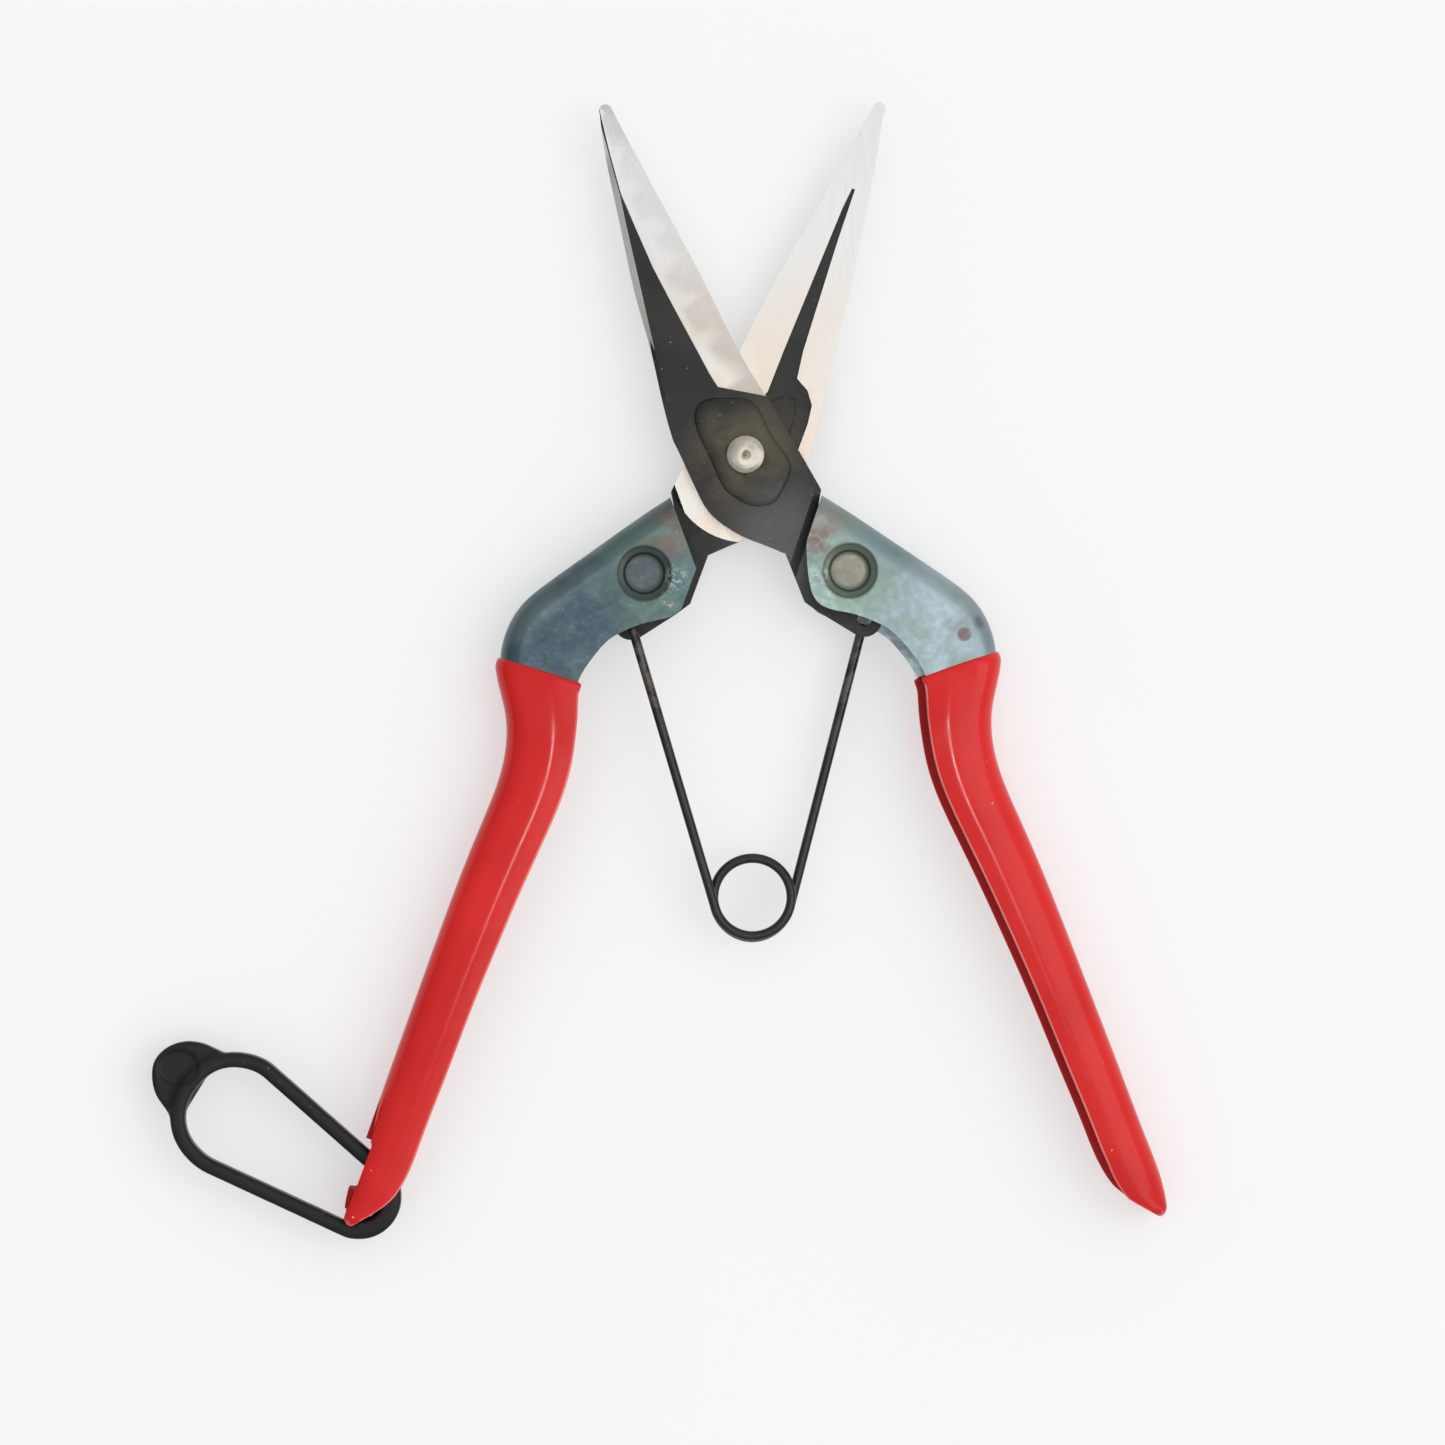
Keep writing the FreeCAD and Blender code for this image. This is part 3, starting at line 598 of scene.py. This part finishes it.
def first_hit(tree, y, skew, z, start_x):
    """Where a ray across the handle first meets it, at this height."""
    way = 1.0 if start_x < MIDDLE_X else -1.0
    start = Vector((start_x, y + skew * (start_x - MIDDLE_X), z))
    return tree.ray_cast(start, Vector((way, way * skew, 0.0)).normalized())[0].x


def grip_stations():
    """Distances down the handle, close together where it bends and at both ends."""
    made = [GRIP_TOP_Y - step for step in STEPS_AT_MOUTH]
    y = made[-1]
    while y > TAIL_END_Y + 2 * FINE_STEP:
        y -= COARSE_STEP if STRAIGHT_END_Y <= y <= STRAIGHT_TOP_Y else FINE_STEP
        made.append(y)
    return made + [TAIL_END_Y + step for step in STEPS_AT_TAIL]


def along(table, y):
    """The value at this distance down the handle, from a table that runs downwards."""
    for (y_above, above), (y_below, below) in zip(table, table[1:]):
        if y >= y_below:
            return above + (below - above) * max(0.0, y_above - y) / (y_above - y_below)
    return table[-1][1]


def lips_and_web(tree, y, skew):
    """Places across the handle of the short lip, the long lip and the web: measured, then from the tables."""
    reach = min(y, GRIP_TOP_Y - MEASURED_BELOW_MOUTH)
    web = first_hit(tree, max(reach, LOWEST_MEASURED_WEB_Y), skew, 0.0, RIGHT_OF_GRIP_X)
    above_tail = max(reach, MERGED_LIPS_Y)
    long_lip = first_hit(tree, above_tail, skew, -LIP_HEIGHT, LEFT_OF_GRIP_X) + TRIM
    short_lip = first_hit(tree, above_tail, skew, LIP_HEIGHT, LEFT_OF_GRIP_X) + TRIM
    if y < TAIL_LIP[0][0]:
        long_lip = max(long_lip, along(TAIL_LIP, y))
        share = max(0.0, y - MERGED_LIPS_Y) / (TAIL_LIP[0][0] - MERGED_LIPS_Y)
        short_lip = long_lip + max(0.0, short_lip - long_lip) * share ** 0.6
    if y < TAIL_WEB[0][0]:
        web = min(web, along(TAIL_WEB, y))
    if y < MERGED_LIPS_Y:
        long_lip = along(TAIL_LIP, y)
        short_lip = long_lip
    return short_lip, long_lip, web


def grip_rings(tree, matrix):
    """Sections of one grip from its mouth to its tail."""
    rings = []
    for index, y in enumerate(grip_stations()):
        below_mouth = GRIP_TOP_Y - y
        skew = MOUTH_SKEW * max(0.0, 1 - below_mouth / MOUTH_SKEW_LENGTH)
        short_lip, long_lip, web = lips_and_web(tree, y, skew)
        swell = SWELL_AT_MOUTH[index] if index < len(SWELL_AT_MOUTH) else 1.0
        flare = MOUTH_FLARE * math.exp(-below_mouth / MOUTH_FLARE_LENGTH) if index > 2 else 0.0
        ridge = min(1.0, max(0.75, (below_mouth - 2) / 10))
        shrink = DIP * (1 - swell)
        web += flare - shrink
        droop = MOUTH_DROOP * max(0.0, 1 - below_mouth / MOUTH_LENGTH) ** 2
        nose = math.sqrt(1 - min(1.0, max(0.0, (TAIL_END_Y + NOSE_START - y) / NOSE_LENGTH)) ** 2)
        upper = flange_half(min(short_lip + shrink, web - THINNEST), web, swell, ridge, droop)
        lower = flange_half(min(long_lip + shrink, web - THINNEST), web, swell, ridge, droop)
        section = upper + [(x, -z) for x, z in lower[::-1][1:-1]]
        rings.append([matrix @ Vector((x, y + skew * (x - MIDDLE_X), z * nose)) for x, z in section])
    return rings


def cutter_box(matrix, low, high, rounding, taper):
    """A block in a half frame with rounded edges, leaning outwards by the taper, used to cut a window."""
    work = bmesh.new()
    bmesh.ops.create_cube(work, size=1.0)
    size = high - low
    middle = (high + low) / 2
    for vertex in work.verts:
        lean = taper * (vertex.co.y + 0.5)
        vertex.co = vertex.co * size + middle + Vector((lean, 0, 0))
    bmesh.ops.bevel(work, geom=list(work.edges), offset=rounding, segments=4, affect="EDGES", profile=0.5)
    bmesh.ops.transform(work, matrix=matrix, verts=work.verts)
    mesh = bpy.data.meshes.new("cutter")
    work.to_mesh(mesh)
    work.free()
    obj = bpy.data.objects.new("cutter", mesh)
    bpy.context.scene.collection.objects.link(obj)
    return obj


def cut_away(obj, cutter):
    """Cuts the block out of the object and removes it."""
    modifier = obj.modifiers.new("cut", "BOOLEAN")
    modifier.operation = "DIFFERENCE"
    modifier.solver = "EXACT"
    modifier.object = cutter
    apply_modifiers(obj)
    bpy.data.objects.remove(cutter)


def inside_of_channel(centre, normal):
    """True on the faces that look into the channel, which get painted shade."""
    if abs(centre.z) > STEEL_HALF - STEEL or centre.y > GRIP_TOP_Y - 0.3:
        return False
    if abs(normal.z) > 0.6:
        return normal.z * centre.z < 0
    return normal.x < -0.3 and abs(centre.z) < STEEL_HALF - STEEL - LINING


def edge_of_lip(normal):
    """True on the rounded outer corner along the lips, where the highlight is painted."""
    lean = math.degrees(math.atan2(-normal.x, abs(normal.z)))
    return 25 < lean < 65 and abs(normal.y) < 0.5


def dip(name, tree, matrix, materials):
    """One grip before its windows are cut: outside, inside and lip edge each have their material. The
    inside's darker red is painted shade, the lip edge's pale red a painted highlight.
    """
    obj = skin(name, grip_rings(tree, matrix))
    for material in materials:
        obj.data.materials.append(material)
    back = matrix.inverted()
    turn = back.to_3x3().normalized()
    for face in obj.data.polygons:
        centre = back @ face.center
        normal = (turn @ face.normal).normalized()
        if inside_of_channel(centre, normal):
            # painted shade: faces that look into the channel take the darker red
            face.material_index = 1
        elif edge_of_lip(normal) and normal.z * centre.z > 0 and centre.y < GRIP_TOP_Y - 1:
            # painted highlight: the rounded lip corner takes the pale red
            face.material_index = 2
    return obj


# blocks that open the left grip for the strap: lowest and highest corner from the strap's pin, the
# rounding of their edges, and how far their top leans outwards
CUT_X = 26.0
STRAP_CUTS = [
    # the window through the web above the bridge
    ((14.9, 1.1, -4.9), (CUT_X, 9.4, 4.9), 0.9, 0.0),
    # the notch in the upper side, above the window and beside the bridge
    ((17.9, 7.5, -4.9), (CUT_X, 17.6, -1.5), 0.6, 1.6),
    ((17.9, -4.0, -5.0), (CUT_X, 1.6, -2.2), 0.5, 0.0),
    # the slit below the bridge, open to the end of the tail
    ((9.0, -12.0, -2.5), (CUT_X, -2.0, 2.5), 0.9, 0.0),
]


def cut_for_strap(grip, materials):
    pin_y = (LOWER.inverted() @ STRAP_PIN).y
    for low, high, rounding, taper in STRAP_CUTS:
        up = Vector((0, pin_y, 0))
        cutter = cutter_box(LOWER, Vector(low) + up, Vector(high) + up, rounding, taper)
        for material in materials:
            cutter.data.materials.append(material)
        # painted shade: the window's cut walls take the darker red of the channel's inside
        cutter.data.polygons.foreach_set("material_index", [1] * len(cutter.data.polygons))
        cut_away(grip, cutter)


def build_grips(materials):
    tree = half_frame_tree("right_grip", UPPER)
    right = dip("right_grip_dip", tree, UPPER, materials)
    left = dip("left_grip_dip", tree, LOWER, materials)
    cut_for_strap(left, materials)
    for obj, body, node in ((right, "upper_half", "right_grip"), (left, "lower_half", "left_grip")):
        smooth(obj, 50)
        finish_piece(obj, body, "grip_vinyl", node)


# ------------------------------------------------------------------ steel parts

POINT_Y = 46.3
SHOULDER_Y = 21.0
GROUND_FACE_END_Y = -17
PLATE = 3.0
BLADE_EDGE_R = 0.07
HANDLE_EDGE_R = 0.16
# the boss: its outline before it is softened, and its side as (distance in, height above the plate)
BOSS_CORNERS = [(-4.3, 11.2), (4.4, 8.0), (4.9, 1.5), (6.4, -4.6), (1.4, -9.2), (-2.4, -7.9),
                (-5.2, -4.0), (-5.7, 8.0)]
BOSS_SIDE = [(-0.25, -0.1), (-0.1, -0.02), (0.0, 0.06), (0.12, 0.26), (0.3, 0.44), (0.6, 0.58),
             (1.05, 0.69), (1.6, 0.78), (2.2, 0.83), (2.8, 0.85)]
BORE_R = 2.25


def outline_radius(corners, angle):
    """Distance from the pivot to a closed outline in one direction."""
    ray = Vector((math.cos(angle), math.sin(angle)))
    for i, corner in enumerate(corners):
        a = Vector(corner)
        b = Vector(corners[(i + 1) % len(corners)])
        side = b - a
        bottom = ray.x * side.y - ray.y * side.x
        if abs(bottom) < 1e-9:
            continue
        distance = (a.x * side.y - a.y * side.x) / bottom
        share = (a.x * ray.y - a.y * ray.x) / bottom
        if distance > 0 and -1e-9 <= share <= 1 + 1e-9:
            return distance
    return 0.0


def soft_outline(count, reach):
    """Distances from the pivot to the boss's outline, averaged over neighbours to round its corners."""
    sharp = [outline_radius(BOSS_CORNERS, 2 * math.pi * i / count) for i in range(count)]
    weights = [reach + 1 - abs(k) for k in range(-reach, reach + 1)]
    radii = []
    for i in range(count):
        near = [sharp[(i + k) % count] for k in range(-reach, reach + 1)]
        radii.append(sum(w * r for w, r in zip(weights, near)) / sum(weights))
    return radii


def soft_boss(matrix):
    """The raised pressing round the pin: a steep foot, then a long soft shoulder up to a flat top."""
    radii = soft_outline(144, 7)
    sides = [([radius - inset for radius in radii], PLATE + rise) for inset, rise in BOSS_SIDE]
    top = sides[-1][1]
    for bore, height in ((BORE_R + 0.15, top), (BORE_R, top - 0.1), (BORE_R, PLATE - 0.1)):
        sides.append(([bore] * len(radii), height))
    rings = [[matrix @ point for point in ring((0, 0), distances, height)] for distances, height in sides]
    return skin("boss", rings, closed=True)


def sink_boss(obj, matrix):
    """Lowers the plain boss of the copied shape into the plate, where the soft one covers it."""
    back = matrix.inverted()
    for vertex in obj.data.vertices:
        place = back @ vertex.co
        if place.z > PLATE + 0.02:
            place.z = PLATE - 0.02
            vertex.co = matrix @ place


def join(obj, other):
    """Adds the other mesh to the object's own."""
    work = bmesh.new()
    work.from_mesh(obj.data)
    work.from_mesh(other.data)
    work.to_mesh(obj.data)
    work.free()
    bpy.data.objects.remove(other)


def blade_face_is_bright(centre, normal):
    """True on the ground bevel, the spine chamfer, the cutting edge and the contact face."""
    if normal.z < -0.98 and centre.z < 0.1:
        return centre.y > GROUND_FACE_END_Y
    if centre.y < 5.0 or centre.z > PLATE + 0.02:
        return False
    if centre.x < -6.5 and centre.y < SHOULDER_Y:
        return False
    if centre.y > POINT_Y and normal.z > 0.3:
        return True
    if 0.6 < normal.z < 0.985:
        return True
    return normal.x > 0.5 and centre.z < 0.6 and centre.y > 7.5


def build_blade(name, node, body, matrix, black, bright):
    """A forged blade: black all over but for its ground faces, with the soft boss round the pin."""
    obj = cad_copy(name, node)
    back = matrix.inverted()
    turn = back.to_3x3().normalized()
    obj.data.materials.append(black)
    obj.data.materials.append(bright)
    for face in obj.data.polygons:
        centre = back @ face.center
        normal = (turn @ face.normal).normalized()
        face.material_index = 1 if blade_face_is_bright(centre, normal) else 0
    sink_boss(obj, matrix)
    round_edges(obj, BLADE_EDGE_R)
    join(obj, soft_boss(matrix))
    even_normals(obj, 40)
    finish_piece(obj, body, "blade_steel", node)


# the dimple as (radius, height above the middle of the handle): its buried back, then its face
DIMPLE_BACK = [(0.0, 2.75), (4.0, 3.4), (4.8, 4.6)]
DIMPLE_FACE = [(4.9, 5.12), (4.65, 5.2), (4.45, 5.17), (4.2, 5.02), (3.9, 4.88), (3.5, 4.76), (3.3, 4.64),
               (3.2, 4.3), (3.1, 4.02), (2.9, 3.9), (2.4, 3.88), (1.2, 3.92), (0.0, 3.93)]


def coined_dimple(matrix, side):
    """The step and the round floor pressed into one face of the handle."""
    rings = []
    for radius, height in DIMPLE_BACK + DIMPLE_FACE:
        rings.append([matrix @ point for point in ring(DIMPLE, [radius] * 96, side * height)])
    return skin("dimple", rings)


def cut_hidden_tail(obj, matrix):
    """Ends the steel deep inside the grip, which covers the rest of it on every side."""
    work = bmesh.new()
    work.from_mesh(obj.data)
    up_handle = (matrix.to_3x3() @ Vector((0, 1, 0))).normalized()
    place = matrix @ Vector((0, HIDDEN_STEEL_END_Y, 0))
    bmesh.ops.bisect_plane(work, geom=work.verts[:] + work.edges[:] + work.faces[:], plane_co=place,
                           plane_no=up_handle, clear_inner=True)
    bmesh.ops.holes_fill(work, edges=[edge for edge in work.edges if edge.is_boundary], sides=0)
    work.to_mesh(obj.data)
    work.free()


def build_handle(name, node, body, matrix, material):
    """A pressed channel handle with the clinch's dimple in both faces."""
    obj = cad_copy(name, node)
    cut_hidden_tail(obj, matrix)
    obj.data.materials.append(material)
    round_edges(obj, HANDLE_EDGE_R, 3)
    for side in (1, -1):
        join(obj, coined_dimple(matrix, side))
    even_normals(obj, 40)
    finish_piece(obj, body, "handle_steel", node)


# the pin's turned head: its rim as (distance in, distance down from the top), then the centre mark as
# (radius, distance down)
SHANK_R = 2.2
HEAD_RIM = [(0.08, 1.29), (0.0, 1.21), (0.0, 0.52), (0.06, 0.42), (0.16, 0.36), (0.62, 0.16), (0.72, 0.12),
            (0.85, 0.1), (1.25, 0.02)]
CENTRE_MARK = [(0.95, 0.0), (0.62, 0.01), (0.55, 0.06), (0.47, 0.14), (0.41, 0.07), (0.33, 0.05),
               (0.27, 0.14), (0.2, 0.5), (0.0, 0.6)]
PIN_CHAMFER = 0.2
WASHER_BORE_R = 2.23
TURNED_CORNER = 0.08
BORE_CHAMFER = 0.1


def pin_profile():
    low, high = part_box("pivot_pin")
    head_r = (high.x - low.x) / 2
    shank_r = SHANK_R * MM
    chamfer = PIN_CHAMFER * MM
    profile = [(0.0, low.z), (shank_r - chamfer, low.z), (shank_r, low.z + chamfer)]
    profile.append((shank_r, high.z - HEAD_RIM[0][1] * MM))
    profile += [(head_r - inset * MM, high.z - down * MM) for inset, down in HEAD_RIM]
    return profile + [(radius * MM, high.z - down * MM) for radius, down in CENTRE_MARK]


def flat_ring_profile(node):
    """A washer or nut with a chamfer below, about a bore."""
    low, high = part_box(node)
    outer = (high.x - low.x) / 2
    bore = WASHER_BORE_R * MM
    corner = TURNED_CORNER * MM
    chamfer = min(0.3 * MM, 0.3 * (high.z - low.z))
    return [(bore, high.z), (outer - corner, high.z), (outer, high.z - corner), (outer, low.z + chamfer),
            (outer - chamfer * 0.35, low.z + chamfer * 0.35), (outer - chamfer, low.z),
            (bore + BORE_CHAMFER * MM, low.z), (bore, low.z + BORE_CHAMFER * MM)]


def build_pivot(material):
    turned = [("pivot_pin", lathe("pivot_pin_turned", pin_profile()))]
    for node in ("pivot_washer", "pivot_nut"):
        turned.append((node, lathe(node + "_turned", flat_ring_profile(node), 72, closed=True)))
    for node, obj in turned:
        obj.data.materials.append(material)
        finish_piece(obj, "lower_half", "pivot_steel", node)


# ------------------------------------------------------------------ spring

# the coil's lower turn lies a little wide: by how much, and where that is, as shares of the coil
WIDE_TURN = 0.3
WIDE_TURN_AT = 0.84
WIDE_TURN_REACH = 0.1
COIL_STEPS = 150
ARM_STEPS = 40


def bend(before, corner, after, radius, steps=8):
    """Points round a square corner between two straight stretches."""
    back = (before - corner).normalized() * radius
    on = (after - corner).normalized() * radius
    centre = corner + back + on
    made = []
    for i in range(steps + 1):
        angle = math.pi / 2 * i / steps
        made.append(centre - on * math.cos(angle) - back * math.sin(angle))
    return made


def tangent_angle(seat, side):
    """Direction from the middle of the coil to where an arm leaves it towards its seat."""
    reach = seat - COIL
    swing = math.acos(COIL_R * MM / math.hypot(reach.x, reach.y))
    return math.atan2(reach.y, reach.x) - side * swing


def spring_line():
    """Centre line of the wire from the left seat, round the coil, to the right seat, in metres."""
    right_seat = UPPER @ SEAT
    left_angle = tangent_angle(LEFT_SEAT, -1)
    right_angle = tangent_angle(right_seat, 1)
    turn = (right_angle - left_angle) % (2 * math.pi) + 2 * math.pi
    coil = []
    for i in range(COIL_STEPS + 1):
        share = i / COIL_STEPS
        angle = left_angle + turn * share
        height = COIL_HALF_HEIGHT * (1 - 2 * share)
        radius = COIL_R + WIDE_TURN * math.exp(-((share - WIDE_TURN_AT) / WIDE_TURN_REACH) ** 2)
        coil.append(COIL + Vector((radius * math.cos(angle), radius * math.sin(angle), height)) * MM)
    up = Vector((0, 0, MM))
    left_top = LEFT_SEAT + up * LEG_Z
    right_low = right_seat - up * LEG_Z
    bend_r = LEG_BEND_R * MM
    line = [LEFT_SEAT - up * PEG_DEPTH, LEFT_SEAT]
    line += bend(LEFT_SEAT, left_top, coil[0], bend_r)
    line += straight(line[-1], coil[0], ARM_STEPS)
    line += coil
    line += straight(coil[-1], right_low + (coil[-1] - right_low).normalized() * bend_r, ARM_STEPS)
    line += bend(coil[-1], right_low, right_seat, bend_r)
    line += [right_seat, right_seat + up * PEG_DEPTH]
    return line


def straight(start, end, count):
    """Points between two ends, without the ends."""
    return [start.lerp(end, i / count) for i in range(1, count)]


def tube(name, line, radius, around=24):
    """Round wire along a line, with its ring of points carried along without twisting."""
    rings = []
    side = None
    for i, point in enumerate(line):
        ahead = line[min(i + 1, len(line) - 1)] - line[max(i - 1, 0)]
        ahead.normalize()
        if side is None:
            side = ahead.orthogonal().normalized()
        side = (side - ahead * side.dot(ahead)).normalized()
        other = ahead.cross(side)
        section = []
        for k in range(around):
            angle = 2 * math.pi * k / around
            section.append(point + (side * math.cos(angle) + other * math.sin(angle)) * radius)
        rings.append(section)
    obj = skin(name, rings)
    smooth(obj, 60)
    return obj


def build_spring(material):
    """The whole spring as one wire round its coil, on no body."""
    obj = tube("spring_wire", spring_line(), WIRE_R * MM)
    obj.data.materials.append(material)
    finish_piece(obj, None, "spring_wire", "spring_left_arm", "spring_right_arm")
    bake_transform(obj)


# ------------------------------------------------------------------ strap

# the tab's dish: from the strap's upper left corner, a little wider than high, in mm
TAB_DISH = (4.3, 4.2)
DISH_DEPTH = 0.38
DISH_FLOOR_R = 2.5
DISH_RIM_R = 3.1
DISH_STRETCH = 1.15
# the thick bend round the grip: its direction from the strap's pin, how far to each side of that it is
# full and where it ends in degrees, and the same outwards from the pin in mm
BEND_DIRECTION = -45
BEND_SIDE = (42, 64)
BEND_OUTWARDS = (5.2, 7.0)
BEND_INNER_R = 3.5
BEND_EXTRA = 0.85
VOXEL = 0.26


def fade(value, full, none):
    """One up to the first limit, nothing beyond the second, and smooth between them."""
    share = min(1.0, max(0.0, (none - value) / (none - full)))
    return share * share * (3 - 2 * share)


def shape_strap(obj):
    """A shallow thumb dish in the tab, and a thicker inside to the bend that goes round the grip."""
    low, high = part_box("strap")
    dish = Vector((low.x + TAB_DISH[0] * MM, high.y - TAB_DISH[1] * MM, 0))
    middle = (low.z + high.z) / 2
    for vertex in obj.data.vertices:
        place = vertex.co
        away = math.hypot((place.x - dish.x) / DISH_STRETCH, place.y - dish.y)
        if place.z > middle:
            place.z -= DISH_DEPTH * MM * fade(away, DISH_FLOOR_R * MM, DISH_RIM_R * MM)
        reach = Vector((place.x - STRAP_PIN.x, place.y - STRAP_PIN.y, 0))
        turned = abs(math.degrees(math.atan2(reach.y, reach.x)) - BEND_DIRECTION)
        share = fade(turned, *BEND_SIDE) * fade(reach.length, BEND_OUTWARDS[0] * MM, BEND_OUTWARDS[1] * MM)
        if reach.length > BEND_INNER_R * MM:
            place -= reach.normalized() * BEND_EXTRA * MM * share


def build_strap(material):
    """The moulded strap: the CAD shape with its edges melted round."""
    obj = cad_copy("closing_strap", "strap", 0.05)
    remesh = obj.modifiers.new("melt", "REMESH")
    remesh.mode = "VOXEL"
    remesh.voxel_size = VOXEL * MM
    soften = obj.modifiers.new("soften", "SMOOTH")
    soften.factor = 0.5
    soften.iterations = 20
    apply_modifiers(obj)
    shape_strap(obj)
    smooth(obj)
    obj.data.materials.append(material)
    finish_piece(obj, "strap", "strap_rubber", "strap")


# ------------------------------------------------------------------ studio

# metres, but for the camera's sensor and the place under it from the pivot, which are in mm
CAMERA_HEIGHT = 1.1
FIELD = 0.2312
VIEW_CENTRE = (-3.68, -42.72, 0)
SENSOR = 36.0
FLOOR_HALF = 1.5


def build_camera():
    data = bpy.data.cameras.new("camera")
    data.sensor_width = SENSOR
    data.lens = SENSOR * CAMERA_HEIGHT / FIELD
    data.clip_start = 0.01
    camera = bpy.data.objects.new("camera", data)
    camera.location = PIVOT + Vector(VIEW_CENTRE) * MM + Vector((0, 0, CAMERA_HEIGHT))
    bpy.context.scene.collection.objects.link(camera)
    bpy.context.scene.camera = camera


def area_light(name, place, size, watts, colour=(1, 1, 1)):
    """A soft light aimed at the middle of the tool."""
    data = bpy.data.lights.new(name, "AREA")
    data.shape = "RECTANGLE"
    data.size, data.size_y = size
    data.energy = watts
    data.color = colour
    light = bpy.data.objects.new(name, data)
    light.location = place
    aim = Vector((PIVOT.x, PIVOT.y - 0.04, 0)) - Vector(place)
    light.rotation_euler = aim.to_track_quat("-Z", "Y").to_euler()
    bpy.context.scene.collection.objects.link(light)


def build_floor():
    corners = [(-FLOOR_HALF, -FLOOR_HALF, 0), (FLOOR_HALF, -FLOOR_HALF, 0),
               (FLOOR_HALF, FLOOR_HALF, 0), (-FLOOR_HALF, FLOOR_HALF, 0)]
    floor = mesh_object("floor", corners, [(0, 1, 2, 3)])
    floor.data.materials.append(floor_material())


def build_world():
    """Pale light from all round, brightest overhead and towards the right."""
    world = bpy.data.worlds.new("studio")
    bpy.context.scene.world = world
    world.use_nodes = True
    tree = world.node_tree
    where = tree.nodes.new("ShaderNodeTexCoord")
    lean = tree.nodes.new("ShaderNodeVectorMath")
    lean.operation = "DOT_PRODUCT"
    lean.inputs[1].default_value = (0.42, 0.2, 0.9)
    tree.links.new(where.outputs["Generated"], lean.inputs[0])
    level = tree.nodes.new("ShaderNodeMapRange")
    level.inputs["From Min"].default_value = -1.0
    level.inputs["From Max"].default_value = 1.0
    level.inputs["To Min"].default_value = 0.02
    level.inputs["To Max"].default_value = 1.01
    tree.links.new(lean.outputs["Value"], level.inputs["Value"])
    background = tree.nodes["Background"]
    background.inputs["Color"].default_value = (0.99, 0.995, 1.0, 1.0)
    tree.links.new(level.outputs["Result"], background.inputs["Strength"])


def build_studio():
    build_floor()
    area_light("window", (0.78, -0.1, 1.2), (1.0, 1.3), 5.0, (1.0, 0.99, 0.98))
    area_light("overhead", (0.004, -0.044, 1.2), (0.016, 0.06), 0.52)
    build_world()
    bpy.context.scene.view_settings.view_transform = "Standard"
    bpy.context.scene.view_settings.look = "None"


def main():
    build_camera()
    build_studio()
    black = black_oxide()
    build_blade("upper_blade_forged", "upper_blade", "upper_half", UPPER, black,
                ground_steel("ground_steel_upper", -OPEN_UPPER))
    build_blade("lower_blade_forged", "lower_blade", "lower_half", LOWER, black,
                ground_steel("ground_steel_lower", OPEN_LOWER))
    build_handle("right_handle_pressed", "right_handle", "upper_half", UPPER,
                 tinted_steel("tinted_steel_right", UPPER, True))
    build_handle("left_handle_pressed", "left_handle", "lower_half", LOWER,
                 tinted_steel("tinted_steel_left", LOWER, False))
    build_grips((vinyl("dipped_vinyl", rgb(200, 22, 23), rgb(213, 33, 32), 0.12),
                 # darker red for painted shade inside the channel
                 vinyl("dipped_vinyl_painted_shade_inside", rgb(160, 4, 14), rgb(176, 7, 17), 0.55),
                 # pale red for a painted highlight along the lip edges
                 vinyl("dipped_vinyl_painted_highlight_edge", rgb(226, 96, 88), rgb(238, 138, 128), 0.2)))
    build_pivot(turned_steel())
    build_spring(spring_steel())
    build_strap(rubber())


main()
